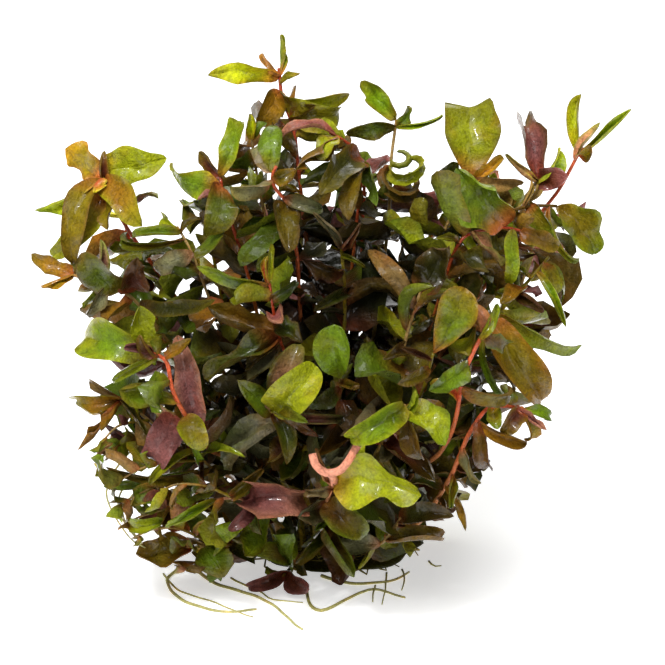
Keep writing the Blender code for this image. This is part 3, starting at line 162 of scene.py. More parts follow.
# Each stem: its radius, its hue, the places it passes and the leaves that show on it
STEMS = {
    "top_stem": (0.36, "red", [
        (-1, -8, -3), (-3, 8, 3), (-4, 18, 6), (-4.9, 25.8, 6), (-6.4, 29.3, 5), (-6.7, 33, 4),
    ], [
        leaf(6, (-6.4, 37.3, 2), 1.9, "green", cup=0.9),
        leaf(6, (-9.2, 34.6, 5), 2.2, "brown", cup=1.2),
        leaf(5.9, (-15.9, 32.7, 6), 2.8, "lime", turn=-20, cup=0.3, twist=30, form=WAVY),
        leaf(6, (-3.7, 32.2, 5), 1.6, "lime", cup=0.8),
        leaf(5, (0.6, 26.7, 8), 3.4, "olive", arch=0.2),
        leaf(4.6, (2.1, 29.9, 3), 3.0, "lime", turn=30, cup=0.9, arch=0.15),
        leaf(4, (-1.6, 28.4, 9), 2.2, "olive", cup=0.5),
        leaf(5, (-8.8, 25.9, 8), 3.4, "ochre", cup=0.4),
    ]),
    "arching_stem": (0.3, "red", [
        (1.5, -6, -1), (2.4, 8, 5), (3.6, 18, 8), (3.6, 22, 9), (1.4, 24.1, 10), (-0.4, 25, 10),
    ], [
        leaf(6, (-6.7, 24.7, 12), 1.9, "purple", arch=0.12, cup=0.7),
        leaf(5.8, (-6.9, 20.9, 15), 2.8, "olive", turn=15),
        leaf(5, (-1.7, 20.6, 14), 2.4, "lime", cup=0.8),
        leaf(4, (-1.3, 17.4, 17), 3.8, "dark", cup=0.7),
        leaf(3.6, (1.9, 14.1, 16), 3.2, "olive", cup=0.5, turn=25),
        leaf(3.4, (6.4, 15.0, 13), 2.4, "deep", cup=0.8, turn=-25),
    ]),
    "coral_stem": (0.36, "coral", [
        (-3.5, -8, 1), (-4, 6, 9), (-5.6, 16, 14), (-7.4, 17.8, 15), (-7.8, 19.6, 15),
        (-7, 20.8, 15),
    ], [
        leaf(6, (-7.4, 26.1, 12), 2.7, "green", cup=0.5),
        leaf(6, (-10.4, 24.4, 12), 2.4, "grey", cup=0.5, turn=-20),
        leaf(6, (-4.3, 20.4, 16), 2.2, "olive", cup=0.8, form=WAVY),
        leaf(4.2, (-12.3, 17.2, 18), 3.0, "grey", cup=0.5, turn=-15),
        leaf(3, (-5.2, 10.6, 20), 3.7, "olive", cup=0.3),
        leaf(2.6, (-11.6, 9.4, 18), 3.0, "deep", cup=0.5),
        leaf(3.2, (-1.2, 15.4, 16), 2.6, "grey", cup=0.8, turn=20),
    ]),
    "pale_bud_stem": (0.28, "khaki", [
        (-5, -6, 0), (-7, 8, 5), (-9.2, 18, 8), (-9.8, 22, 10), (-10.2, 25, 9),
    ], [
        leaf(5, (-10.3, 27.4, 9), 2.2, "lime", cup=0.9),
        leaf(4.5, (-8.2, 26.2, 9), 1.8, "green"),
        leaf(3.8, (-13.0, 21.0, 10), 2.6, "deep", cup=0.5),
    ]),
    "dark_red_stem": (0.32, "red", [
        (-7, -8, 1), (-10, 5, 9), (-12.2, 13, 12), (-13.8, 17.4, 13), (-14, 20.2, 12),
    ], [
        leaf(5, (-9.1, 25.8, 10), 2.8, "green", arch=0.12, cup=0.9),
        leaf(4.3, (-20.5, 20.6, 10), 3.6, "green", arch=0.16, cup=0.5),
        leaf(4.2, (-15.2, 12.4, 17), 3.6, "deep"),
        leaf(3.9, (-16.9, 16.6, 14), 1.4, "purple"),
        leaf(4.8, (-16.2, 22.6, 9), 2.0, "burgundy", cup=0.9),
        leaf(3.2, (-17.0, 9.0, 16), 2.3, "green", cup=0.5, turn=20),
    ]),
    "left_top_stem": (0.36, "red", [
        (-11, -10, -2), (-18, 2, 4), (-25, 12, 6), (-28.2, 17, 6), (-29, 20.2, 6),
    ], [
        leaf(
            5, (-20.8, 21.9, 7), 4.6, "lime", cup=0.3, arch=0.05, own="big_lime_leaf",
            rim="lime", form=TONGUE,
        ),
        leaf(5, (-32.9, 23.4, 4), 3.4, "olive", bend=0.1),
        leaf(5, (-29.0, 22.8, 8), 1.6, "burgundy", cup=1.4),
        leaf(4.6, (-24.0, 13.4, 11), 3.8, "ochre", cup=0.9, arch=0.12),
        leaf(4.5, (-37.3, 15.8, 3), 2.8, "lime"),
        leaf(4.4, (-32.6, 8.7, 8), 2.4, "olive", cup=1.0, bend=0.08, form=HANGING),
        leaf(4.2, (-35.4, 9.4, 5), 2.2, "olive", cup=0.9, bend=-0.08, form=HANGING),
        leaf(4.8, (-30.6, 17.0, 9), 2.4, "red", cup=1.1),
        leaf(4, (-28.0, 12.8, 10), 2.0, "olive"),
    ]),
    "arching_leaf_stem": (0.28, "khaki", [
        (-9.5, -8, 3), (-14.5, 2, 10), (-17.2, 9.2, 13), (-18.3, 11.4, 13), (-19.4, 13.2, 12),
    ], [
        leaf(4.7, (-25.4, 12.0, 12), 1.9, "green", arch=0.2, cup=0.7),
        leaf(5, (-16.6, 14.4, 14), 1.0, "olive", arch=0.2, cup=0.9),
        leaf(4, (-27.8, 11.6, 9), 2.2, "olive"),
        leaf(3, (-22.8, 7.8, 15), 2.4, "grey", cup=0.4),
        leaf(5, (-21.8, 15.2, 10), 1.6, "lime", cup=0.8),
    ]),
    "left_stem": (0.34, "khaki", [
        (-13, -12, 3), (-20, -2, 9), (-25, 4.4, 11), (-29.4, 6.4, 9), (-33.2, 7.4, 7),
    ], [
        leaf(5, (-37.5, 9.5, 5), 2.4, "ochre", cup=0.8),
        leaf(5, (-36.6, 5.6, 7), 2.0, "olive", cup=0.8),
        leaf(3.2, (-31.6, 9.6, 13), 4.2, "deep", cup=0.4),
        leaf(4, (-28.7, 10.8, 13), 2.5, "purple", cup=0.7),
        leaf(3, (-24.4, 9.6, 15), 3.2, "burgundy"),
        leaf(3.6, (-30.6, 2.0, 10), 2.6, "grey", cup=0.5),
        leaf(2.8, (-14.3, 3.9, 19), 1.9, "dark", cup=0.8, arch=-0.05),
    ]),
    "hooked_coral_stem": (0.42, "coral", [
        (-10, -17, 3), (-15.2, -15, 12), (-18.2, -10.6, 18), (-20.2, -7, 19.5), (-20.7, -3.4, 19),
        (-23.2, -2.4, 17),
    ], [
        leaf(6, (-31.7, -0.7, 12), 4.0, "green", arch=0.12, own="left_green_leaf", form=SPREAD),
        leaf(6, (-24.3, 3.6, 17), 3.6, "lime", arch=0.1, cup=0.5, own="left_lime_leaf"),
        leaf(5.8, (-26.0, -1.9, 19), 2.2, "burgundy", cup=1.3, form=BUD),
        leaf(5.2, (-24.2, -0.4, 20), 2.2, "burgundy", cup=1.3, form=BUD),
        leaf(2.6, (-19.4, -0.3, 17), 3.1, "purple", cup=0.4, form=MAUVE),
        leaf(5, (-17.2, -0.9, 20), 1.8, "ochre", cup=0.8),
        leaf(6, (-28.0, -6.6, 16), 1.8, "lime", cup=0.8),
        leaf(3, (-16.2, -14.4, 21), 3.2, "olive"),
    ]),
    "left_edge_stem": (0.3, "khaki", [
        (-14, -18, 1), (-21, -12.6, 7), (-25.4, -9, 9), (-27.2, -8.4, 9),
    ], [
        leaf(4, (-32.6, -8.6, 8), 3.6, "ochre", cup=1.3),
        leaf(4, (-30.8, -5.9, 7), 1.4, "khaki", cup=0.8),
        leaf(3, (-31.0, -15.8, 8), 2.2, "brown", cup=0.9),
        leaf(3.5, (-28.6, -13.0, 11), 2.2, "ochre", cup=0.9),
        leaf(3, (-23.4, -12.6, 14), 1.8, "dark"),
    ]),
    "purple_leaf_stem": (0.3, "khaki", [
        (-12, -20, 5), (-16.6, -15.4, 13), (-19.2, -12, 16), (-19.8, -10.2, 16),
    ], [
        leaf(4, (-23.5, -16.8, 17), 3.8, "purple", cup=0.4, own="purple_leaf"),
        leaf(3.8, (-23.0, -9.6, 15), 1.8, "salmon", cup=0.8),
        leaf(1.9, (-17.2, -14.4, 20), 1.5, "green", cup=0.9),
        leaf(1.8, (-12.0, -14.4, 20), 1.5, "green", cup=0.9),
        leaf(2, (-23.0, -18.6, 16), 2.2, "lime"),
        leaf(1.6, (-28.3, -17.0, 12), 2.4, "olive", cup=0.5),
        leaf(1.5, (-28.6, -19.2, 9), 1.8, "green", cup=0.7),
    ]),
    "ruffled_leaf_stem": (0.3, "salmon", [
        (-6, -22, 4), (-10, -21.6, 12), (-11.8, -20.6, 15), (-15.4, -21, 14),
    ], [
        leaf(4, (-20.9, -24.3, 13), 2.2, "green", arch=0.15, cup=0.9),
        leaf(3, (-8.8, -17.5, 18), 3.0, "olive", cup=0.7),
        leaf(2.4, (-3.8, -20.6, 18), 4.4, "burgundy", cup=0.9, twist=40, form=RUFFLED),
        leaf(2, (-12.6, -24.4, 16), 2.2, "purple", cup=0.7),
    ]),
    "low_left_stem": (0.32, "khaki", [
        (-9, -26.5, -3), (-14, -26.6, 4), (-18.2, -26.8, 8),
    ], [
        leaf(3, (-24.6, -28.2, 7), 4.2, "olive", cup=0.4),
        leaf(2.4, (-13.4, -30.4, 8), 3.8, "green", cup=0.4),
        leaf(3, (-19.8, -25.0, 11), 2.6, "brown", cup=0.7),
        leaf(2, (-11.8, -24.2, 12), 2.6, "green", cup=0.5),
    ]),
    "low_front_stem": (0.3, "brown", [
        (-4, -28.6, -3), (-6.2, -30.6, 3),
    ], [
        leaf(2, (-10.4, -32.0, 5), 2.4, "burgundy", cup=0.8),
        leaf(1.9, (-2.2, -32.2, 6.5), 2.4, "burgundy", cup=0.8),
        leaf(1.4, (-5.2, -25.4, 8), 4.2, "deep", cup=0.5),
        leaf(1.2, (-10.4, -27.2, 7.2), 2.6, "brown"),
    ]),
    "rosette_stem": (0.34, "khaki", [
        (-3, -16, 6), (-6, -12.4, 16), (-8, -9.3, 21.5),
    ], [
        leaf(
            3, (-4.5, -1.4, 23), 2.6, "salmon", cup=0.5, arch=0.1, rim="green",
            form=dict(ROUND, width=3.8),
        ),
        leaf(
            3, (-2.2, -4.6, 25), 4.2, "lime", cup=0.7, arch=0.15, own="round_lime_leaf",
            form=dict(ROUND, width=5.0, light=0.8),
        ),
        leaf(3, (-12.1, -5.7, 23), 3.2, "green"),
        leaf(3, (-0.7, -10, 26), 2.3, "olive", arch=0.1, cup=0.9),
        leaf(2.8, (-0.8, -11.2, 24), 1.5, "brown", cup=0.9),
        leaf(2.6, (-5.4, -16.3, 22), 2.5, "deep", cup=0.5),
        leaf(2.4, (1.4, -11.0, 22), 2.0, "purple", cup=0.8),
    ]),
    "front_green_stem": (0.34, "khaki", [
        (0.5, -14, 6), (0.8, -8.6, 16), (1, -5.8, 20.5),
    ], [
        leaf(
            3, (0.2, 0.6, 25), 5.0, "green", cup=0.7, arch=0.12, own="bright_green_leaf",
            rim="green", form=FAN,
        ),
        leaf(2.7, (4.8, -7.2, 24), 2.0, "olive", cup=0.7),
        leaf(2.4, (-3.0, -9.4, 22), 2.0, "dark", cup=0.7),
    ]),
    "bud_stem": (0.3, "red", [
        (-3.8, -8, 9), (-5.8, -3, 16), (-7, 0.4, 19), (-7.5, 4, 20), (-8, 7, 21),
    ], [
        leaf(5, (-8.2, 9.6, 21), 1.5, "red", cup=1.6, form=BUD),
        leaf(5, (-7.5, 11.4, 20), 1.3, "lime", cup=0.8),
        leaf(
            3.2, (-6.4, 1.4, 23), 2.0, "purple", cup=1.3, rim="salmon",
            form=dict(BUD, width=3.2, light=1.15),
        ),
        leaf(3, (-3.6, -1.4, 21), 3.2, "deep", cup=0.7, arch=0.15),
        leaf(4, (-12.1, 3.8, 23), 4.4, "lime", cup=2.6, turn=180, rim="lime", form=ROLLED),
        leaf(4.6, (-16.8, 9, 19), 2.3, "green"),
        leaf(4, (-4.4, 6.4, 22), 2.0, "deep", cup=0.9),
        leaf(2.6, (-16.4, -5.2, 19), 4.2, "deep", cup=0.4),
        leaf(2.5, (-11.2, -4.6, 19), 2.4, "brown"),
    ]),
    "middle_stem": (0.34, "olive", [
        (1, -6, 6), (1.6, 4, 12), (1, 11.6, 15),
    ], [
        leaf(3, (-2.8, 15.2, 16), 2.6, "grey", cup=0.8),
        leaf(3, (3.4, 13.6, 17), 2.0, "burgundy", cup=0.7),
        leaf(2.6, (4.2, 8.0, 17), 1.7, "lime", cup=0.8),
        leaf(2.4, (-4.4, 9.8, 16), 3.6, "brown", cup=0.4),
        leaf(2, (-1.6, 3.0, 18), 2.6, "deep", cup=0.5),
    ]),
    "big_dark_leaf_stem": (0.36, "khaki", [
        (3.6, -14, 8), (7.4, -7, 17), (9.6, 1, 20), (11, 5, 20),
    ], [
        leaf(4, (14.7, 11.4, 21), 4.6, "dark", bend=0.08, own="big_dark_leaf"),
        leaf(2.8, (12.4, 6, 26), 3.4, "green", cup=2.2, turn=180, form=QUILL),
        leaf(3.2, (4.6, 10.4, 19), 2.2, "khaki"),
        leaf(2.6, (5.4, -4.3, 25), 2.2, "brown", cup=0.8, arch=0.1),
    ]),
    "glossy_leaf_stem": (0.32, "olive", [
        (7, -16, 9), (11, -8, 19), (12.6, -2.6, 22),
    ], [
        leaf(
            3, (16.5, 5.4, 25), 4.6, "green", cup=0.5, own="glossy_green_leaf", rim="ochre",
            form=FAN,
        ),
        leaf(3, (7.4, -2.0, 25), 1.8, "burgundy", cup=0.7),
        leaf(2.6, (8.8, -6.4, 26), 1.8, "olive", cup=0.8),
    ]),
    "coral_double_stem": (0.4, "coral", [
        (9.6, -18, 9), (13.6, -15, 16), (15.4, -11, 20), (15.8, -7.4, 22), (16.8, -4.2, 23),
        (19.2, 0.8, 22),
    ], [
        leaf(6, (18.2, 4.0, 22), 1.8, "salmon", cup=0.8),
        leaf(5, (11.9, -7.4, 27), 2.5, "green", cup=0.5),
        leaf(6, (22.4, -1.6, 20), 2.0, "brown", cup=0.8),
        leaf(4.2, (23.2, -7.8, 21), 2.4, "olive", arch=0.12, cup=0.7),
        leaf(3.4, (12.6, -5.6, 22), 1.6, "red", cup=0.9),
        leaf(6, (20.6, 3.6, 21), 1.6, "lime", cup=0.8),
    ]),
    "right_coral_stem": (0.4, "coral", [
        (10.6, -24, 7), (14.6, -18.4, 16), (16, -14.7, 18), (17.6, -11.6, 19.5), (19.4, -9.2, 20),
        (22.6, -9.2, 19), (24.4, -9.9, 17.5),
    ], [
        leaf(7, (27.6, -10.8, 16), 1.8, "green", cup=0.7),
        leaf(7, (21.4, -12.6, 20), 2.6, "burgundy"),
        leaf(7, (26.6, -12.2, 17), 1.8, "purple", cup=0.7),
        leaf(7, (25.4, -14.0, 16), 1.8, "olive", cup=0.9),
        leaf(5, (20.8, -12.3, 21), 2.2, "olive", cup=0.8),
        leaf(4, (24.3, -13.8, 17), 3.0, "ochre", cup=0.7),
        leaf(4, (19.0, -18.4, 19), 2.2, "brown", cup=0.9),
        leaf(3, (18.3, -19.0, 19), 2.0, "grey", cup=0.7),
        leaf(2, (14.9, -22.0, 17), 2.4, "olive", cup=0.9),
        leaf(1.8, (17.4, -24.8, 15), 1.4, "ochre", cup=0.9),
    ]),
    "right_edge_stem": (0.34, "olive", [
        (12, -14, 6), (16.4, -5, 13), (19, 0.4, 16), (22.4, 4.2, 14), (25.4, 7.4, 12),
        (27, 9.4, 10),
    ], [
        leaf(3.4, (31.2, -3, 12), 2.9, "lime", form=dict(ROUND, width=3.4)),
        leaf(
            3.2, (26.7, -9, 15), 5.2, "ochre", cup=0.5, bend=0.1, own="right_ochre_leaf",
            form=dict(ROUND, light=0.9, ruffle=0.9, fold=0.4, hue="olive", rim="ochre"),
        ),
        leaf(3, (23.0, -8.6, 17), 1.5, "green", cup=0.8, bend=0.15),
        leaf(4.2, (26.4, 2.6, 15), 2.4, "brown", cup=1.1),
        leaf(5, (29, 0.3, 12), 2.7, "green", cup=0.7),
        leaf(6, (27.7, 4.6, 12), 2.4, "olive", cup=0.7),
        leaf(5.4, (29.7, 4.0, 10), 1.8, "olive", cup=0.7),
        leaf(4.4, (21.0, 3.4, 18), 2.4, "ochre", cup=0.7),
    ]),
    "red_node_stem": (0.3, "red", [
        (9, -10, 6), (13, 3, 13), (15.8, 11.4, 17), (19.8, 12.9, 15), (22, 13.2, 14),
        (24.3, 12.5, 13),
    ], [
        leaf(6, (28.4, 10.8, 12), 2.6, "brown", cup=0.7),
        leaf(
            4.6, (12.4, 18.9, 15.8), 6.4, "dark", cup=0.8, own="big_cupped_leaf", rim="ochre",
            form=BOWL,
        ),
        leaf(5, (22.7, 5.7, 16), 1.9, "green", cup=0.7),
        leaf(5, (20.9, 15.8, 13), 1.4, "green", cup=0.8),
        leaf(3.2, (21.4, 8.6, 18), 2.8, "salmon", cup=0.9, arch=0.12),
        leaf(2.6, (19.4, 6.2, 20), 3.8, "dark", cup=1.3),
    ]),
    "grey_leaf_stem": (0.34, "brown", [
        (10, -8, 3), (14.4, 6, 9), (16.6, 12.6, 12), (20.8, 14.6, 11), (24.6, 15.9, 9),
        (28, 15.8, 7),
    ], [
        leaf(6, (33, 9.8, 7), 5.4, "grey", cup=0.5, own="big_grey_leaf", form=SILVERY),
        leaf(6, (30.4, 8.2, 9), 2.2, "olive", cup=0.7),
        leaf(5, (27.4, 12.0, 10), 2.6, "olive", cup=0.8),
        leaf(4.6, (24.8, 19.0, 8), 1.6, "khaki", cup=0.8),
    ]),
    "right_top_stem": (0.36, "coral", [
        (12, -6, 1), (20.6, 8, 4), (27, 16, 4.5), (29.9, 20.2, 4.5), (31.2, 23.2, 4.5),
    ], [
        leaf(5, (31, 30, 3), 2.9, "lime", cup=0.7),
        leaf(5, (37.7, 29.7, 4), 1.9, "green", arch=-0.1, cup=0.7),
        leaf(5, (33.8, 26.2, 6), 1.8, "salmon", cup=1.0),
        leaf(4.8, (32.4, 23.9, 8), 2.4, "olive", cup=0.9),
    ]),
    "burgundy_leaf_stem": (0.32, "khaki", [
        (9.5, -6, -2), (16, 8, 3), (22, 14.6, 5), (25, 18, 5.5), (26, 20, 5.5),
    ], [
        leaf(5, (24.4, 27.2, 4), 3.6, "purple", cup=0.7, rim="olive", form=BROAD),
        leaf(5, (21.6, 22.0, 8), 2.4, "salmon", cup=1.6),
        leaf(5, (29.2, 22.8, 7), 2.4, "green", cup=0.9),
        leaf(4.4, (29.5, 19.6, 8), 3.0, "burgundy", cup=0.7),
        leaf(4, (23.8, 16.8, 9), 1.8, "khaki", cup=0.8),
    ]),
    "folded_leaf_stem": (0.36, "khaki", [
        (6, -6, 2), (11, 6, 7), (14.6, 14, 10), (17.2, 19.6, 10.5),
    ], [
        leaf(
            4, (17.0, 29.3, 8), 6.6, "olive", cup=0.9, own="big_folded_leaf", rim="salmon",
            form=DRAPED,
        ),
        leaf(4, (20.8, 23.0, 9), 1.8, "ochre"),
        leaf(3.8, (24.0, 18.6, 10), 2.2, "khaki", cup=0.8),
    ]),
    "upper_green_stem": (0.32, "khaki", [
        (4.5, -5, 1), (6.6, 10, 6), (7.3, 18.6, 8), (7.3, 21.6, 8), (7.8, 24.4, 7.5), (8, 26.6, 7),
    ], [
        leaf(6, (3.7, 31.4, 5), 3.4, "green", cup=0.5, own="upper_green_leaf"),
        leaf(6, (9.7, 28.4, 6), 1.5, "green"),
        leaf(5.4, (2.0, 24.6, 10), 2.2, "deep", cup=0.8),
        leaf(5.5, (14.2, 27.0, 7), 1.5, "green", arch=0.14, cup=0.7),
        leaf(3.6, (3.8, 16.4, 12), 2.4, "olive", cup=1.0, form=RING),
        leaf(3.4, (9.4, 15.8, 13), 2.4, "lime", cup=1.0, form=RING),
        leaf(4, (10.4, 19.6, 10), 1.8, "lime", cup=1.3, form=RING),
    ]),
    "front_node_stem": (0.36, "khaki", [
        (5, -16, 10), (7.4, -12.4, 19), (9, -9.1, 24),
    ], [
        leaf(3, (2.3, -13.4, 27.5), 4.2, "green", own="node_left_leaf"),
        leaf(3, (14, -14.4, 25), 3.8, "lime", bend=-0.15),
        leaf(3, (10.4, -6.8, 24), 1.8, "green", cup=0.8),
        leaf(2.8, (10.2, -16.6, 25), 2.8, "brown"),
    ]),
    "front_low_stem": (0.36, "salmon", [
        (-1, -24, 6), (-0.8, -21.5, 15), (0.2, -18.6, 21),
    ], [
        leaf(
            3, (11.6, -20.3, 24), 4.6, "lime", cup=0.7, bend=-0.14, arch=0.05,
            own="big_front_leaf", rim="lime", form=SWAYING,
        ),
        leaf(3, (-2.6, -15.0, 23), 1.7, "salmon", cup=1.0, bend=0.12),
        leaf(3, (3.4, -14.0, 24), 2.2, "lime", cup=0.7, bend=0.1),
        leaf(3, (6.2, -16.4, 22), 2.2, "burgundy", cup=0.7),
        leaf(2.6, (-3.4, -19.8, 20), 2.2, "grey"),
        leaf(2, (4.0, -25.4, 18), 4.0, "brown", cup=0.5),
    ]),
    "low_right_stem": (0.34, "khaki", [
        (4, -27, -1), (6.4, -26.2, 7), (8.6, -23.2, 12.5),
    ], [
        leaf(3, (14.8, -22.8, 17), 3.2, "dark"),
        leaf(2, (13.6, -25.2, 10), 3.4, "olive", cup=1.0),
        leaf(1.8, (-0.9, -27.0, 8), 2.2, "grey", arch=0.1),
        leaf(1.6, (3.2, -29.6, 6), 2.2, "olive", cup=1.1),
    ]),
}

# The stems of the far side: which way each leans, how far out and how high its tip is
BACK_STEMS = [
    (22, 29, 42), (42, 24, 44), (60, 27, 40), (74, 15, 46), (94, 24, 43), (112, 27, 40),
    (136, 23, 41), (158, 29, 42),
]
BACK_BENDS = ((0.62, 0.35), (0.85, 0.68), (1.0, 1.0))
BACK_RADIUS = 0.34
BACK_PAIRS = (0.4, 0.6, 0.8, 1.0)
INNER_PAIRS = (0.45,)
PAIR_AT_TIP = 0.7
INNER_STEMS = (
    "top_stem", "pale_bud_stem", "left_top_stem", "left_stem", "right_top_stem",
    "burgundy_leaf_stem", "upper_green_stem",
)
BACK_HUES = ["khaki", "coral", "olive", "red"]
BACK_LEAF_HUES = ["green", "olive", "burgundy", "lime", "deep", "ochre", "purple", "brown"]

# The run of the stems
# The stems rise from the crown and keep clear of each other. Young ones are round, soft and
# under a millimetre thick, a little thinner towards the tip.
CROWN_CENTRE = Vector((0.0, 0.0, 0.0))
CROWN_HEIGHT = 1.5
FOOT_SPREAD = (0.26, 0.24)
CLIMB_SPREAD = 0.04
CLIMB_SHARE = 0.4
CLIMB_RANGE = (0.5, 3.0)
MESH_GAP = 0.3
STEM_SIDES = 4
STEM_STEP = 1.0
STEM_STRAYING = 0.3
STEM_SPACING = 0.8
SPACING_SLACK = 0.05
SPACING_ROUNDS = 60
SPACING_STRIDE = 0.7
STEM_TAPER = 0.35


def curve_through(points, spacing):
    """Even points on a smooth curve through these, each with how many points it is along."""
    padded = [2 * points[0] - points[1], *points, 2 * points[-1] - points[-2]]
    fine = []
    for i in range(1, len(padded) - 2):
        before, start, end, after = padded[i - 1 : i + 3]
        for step in range(20):
            s = step / 20
            bent = (
                2 * start
                + (end - before) * s
                + (2 * before - 5 * start + 4 * end - after) * s * s
                + (3 * start - before - 3 * end + after) * s * s * s
            ) / 2
            fine.append((bent, i - 1 + s))
    fine.append((points[-1], len(points) - 1))
    lengths = [0.0]
    for (a, _), (b, _) in zip(fine, fine[1:]):
        lengths.append(lengths[-1] + (b - a).length)
    count = max(2, round(lengths[-1] / spacing))
    wanted = np.linspace(0, lengths[-1], count + 1)
    columns = [np.interp(wanted, lengths, [p[k] for p, _ in fine]) for k in range(3)]
    along = np.interp(wanted, lengths, [a for _, a in fine])
    return np.array(columns).T, along


def smooth_run(points, spacing):
    """Even points on a smooth curve through these."""
    return [Vector(point) for point in curve_through(points, spacing)[0]]


def stem_routes():
    """Every stem's radius, hue, points from the crown up, the count along them, and leaves."""
    routes = {}
    for name, (radius, hue, places, leaves) in STEMS.items():
        routes[name] = (radius, hue, [place(*p) for p in places], leaves)
    for i, (lean, out, height) in enumerate(BACK_STEMS):
        way = Vector((math.cos(math.radians(lean)), math.sin(math.radians(lean)), 0))
        up = Vector((0, 0, 1))
        points = [way * out * share + up * height * rise for share, rise in BACK_BENDS]
        routes[f"back_stem_{i + 1}"] = (BACK_RADIUS, BACK_HUES[i % len(BACK_HUES)], points, [])
    grown = {}
    for name, (radius, hue, points, leaves) in routes.items():
        end = points[-1]
        across, away = FOOT_SPREAD
        foot = CROWN_CENTRE + Vector((end.x * across, end.y * away, CROWN_HEIGHT + MESH_GAP))
        climb = min(max((points[0].z - foot.z) * CLIMB_SHARE, CLIMB_RANGE[0]), CLIMB_RANGE[1])
        rise = foot + Vector((end.x * CLIMB_SPREAD, end.y * CLIMB_SPREAD, climb))
        line, along = curve_through([foot, rise, *points], STEM_STEP)
        grown[name] = [radius, hue, line, along - 1, leaves]
    lean_aside(grown)
    return grown


def lean_aside(grown):
    """Stems that would touch lean aside, each by half, and keep their smooth run."""
    names = list(grown)
    owner = np.concatenate([np.full(len(grown[n][2]), i) for i, n in enumerate(names)])
    radius = np.concatenate([np.full(len(grown[n][2]), grown[n][0]) for n in names])
    points = np.concatenate([grown[n][2] for n in names])
    floor = radius + CROWN_HEIGHT + MESH_GAP
    smoothings = 3
    for _ in range(SPACING_ROUNDS):
        gaps = points[:, None, :] - points[None, :, :]
        apart = np.sqrt((gaps**2).sum(axis=2)) + 1e-9
        wanted = radius[:, None] + radius[None, :] + STEM_SPACING
        short = np.clip(wanted - apart, 0, None)
        short[owner[:, None] == owner[None, :]] = 0
        if short.max() < SPACING_SLACK:
            break
        push = (gaps / apart[:, :, None] * short[:, :, None]).sum(axis=1)
        push /= np.maximum((short > 0).sum(axis=1), 1)[:, None]
        for i in range(len(names)):
            mine = owner == i
            moved = push[mine] * SPACING_STRIDE
            for _ in range(smoothings):
                moved[1:-1] = (moved[:-2] + 2 * moved[1:-1] + moved[2:]) / 4
            moved[0, 2] = 0
            points[mine] += moved
            points[np.flatnonzero(mine)[1:], 2] = np.maximum(points[mine, 2], floor[mine])[1:]
    for i, name in enumerate(names):
        grown[name][2] = points[owner == i]


def at_count(line, along, count, back, end):
    """The stem's point at this count along its route, or this many millimetres below it."""
    i = min(int(np.searchsorted(along, count)), len(line) - 1 - end)
    return onto_tube(line, Vector(line[max(i - back, 2)]))


def tube_rings(bm, line, radii, sides):
    """Rings of corners along these points, without turning about their own run."""
    rings = []
    ahead = (Vector(line[1]) - Vector(line[0])).normalized()
    side = ahead.orthogonal().normalized()
    for i, centre in enumerate(line):
        before = Vector(line[max(i - 1, 0)])
        after = Vector(line[min(i + 1, len(line) - 1)])
        ahead = (after - before).normalized()
        side = (side - ahead * side.dot(ahead)).normalized()
        other = ahead.cross(side)
        ring = []
        for k in range(sides):
            turn = 2 * math.pi * k / sides
            ring.append(bm.verts.new(
                Vector(centre) + (side * math.cos(turn) + other * math.sin(turn)) * radii[i]
            ))
        rings.append(ring)
    return rings


def sew_rings(bm, rings):
    """Faces between each ring of corners and the next, and one over each end."""
    sides = len(rings[0])
    for low, high in zip(rings, rings[1:]):
        for k in range(sides):
            bm.faces.new((low[k], low[(k + 1) % sides], high[(k + 1) % sides], high[k]))
    bm.faces.new(rings[0][::-1])
    bm.faces.new(rings[-1])


def bends_of(line, first, last):
    """The numbers of the points a run needs to stay within STEM_STRAYING of its curve."""
    if last - first < 2:
        return [first]
    chord = line[last] - line[first]
    chord = chord / np.linalg.norm(chord)
    reach = line[first:last] - line[first]
    strays = np.linalg.norm(reach - np.outer(reach @ chord, chord), axis=1)
    worst = int(strays.argmax())
    if strays[worst] < STEM_STRAYING:
        return [first]
    return bends_of(line, first, first + worst) + bends_of(line, first + worst, last)


def kept_bends(line):
    """The numbers of the points that a stem's tube runs through."""
    last = len(line) - 1
    return [*bends_of(line, 0, last), last]


def onto_tube(line, spot):
    """The point nearest to spot on the straight runs of the stem's tube."""
    bends = [Vector(line[i]) for i in kept_bends(line)]
    nearest = []
    for start, end in zip(bends, bends[1:]):
        share = (spot - start).dot(end - start) / (end - start).length_squared
        nearest.append(start.lerp(end, min(max(share, 0.0), 1.0)))
    return min(nearest, key=lambda point: (point - spot).length)


def grow_stem(entry, extra=0.0):
    """The stem's tube, made thicker by extra."""
    radius, line = entry[0], entry[2]
    last = len(line) - 1
    picked = kept_bends(line)
    radii = [radius * (1 - STEM_TAPER * i / last) + extra for i in picked]
    bm = bmesh.new()
    sew_rings(bm, tube_rings(bm, line[picked], radii, STEM_SIDES))
    return bm


# The leaf blades
# A leaf is a thin ovate blade without a stalk, soft and wet. It is cupped or rolled, its rim
# ruffles, and it is sewn from two sheets a fifth of a millimetre apart. A plainer and thicker
# blade stands for it where leaves have to keep clear of each other.
LEAF_THICKNESS = 0.45
LEAF_CLEARANCE = 0.12
LEAF_ROOTING = 0.1
OWN_LEAF_GAP = 0.5
OWN_LEAF_TURN = 15
LEAF_TURN = 42
LEAF_SEED = 3
LEAF_CUPPING = (0.9, 1.7)
LEAF_TWIST = 30
LEAF_ARCHING = (-0.08, 0.1)
LEAF_BENDING = 0.07
LEAST_LEAF_HEIGHT = 0.35
LEAF_SAG = 0.2
LEAF_SWINGS = (0, 8, -8, 16, -16, 24, -24, 34, -34, 46, -46)
LEAF_SWAYS = (0, 10, -10, 20, -20)
LEAF_FULLNESS = 1.2
LEAF_POINT = 0.999
PLAIN_GRID = (4, 2)
RIM = 0.01
NUDGE = 0.02
LEAST_CUP = 0.05
PLAIN_MERGING = 0.02
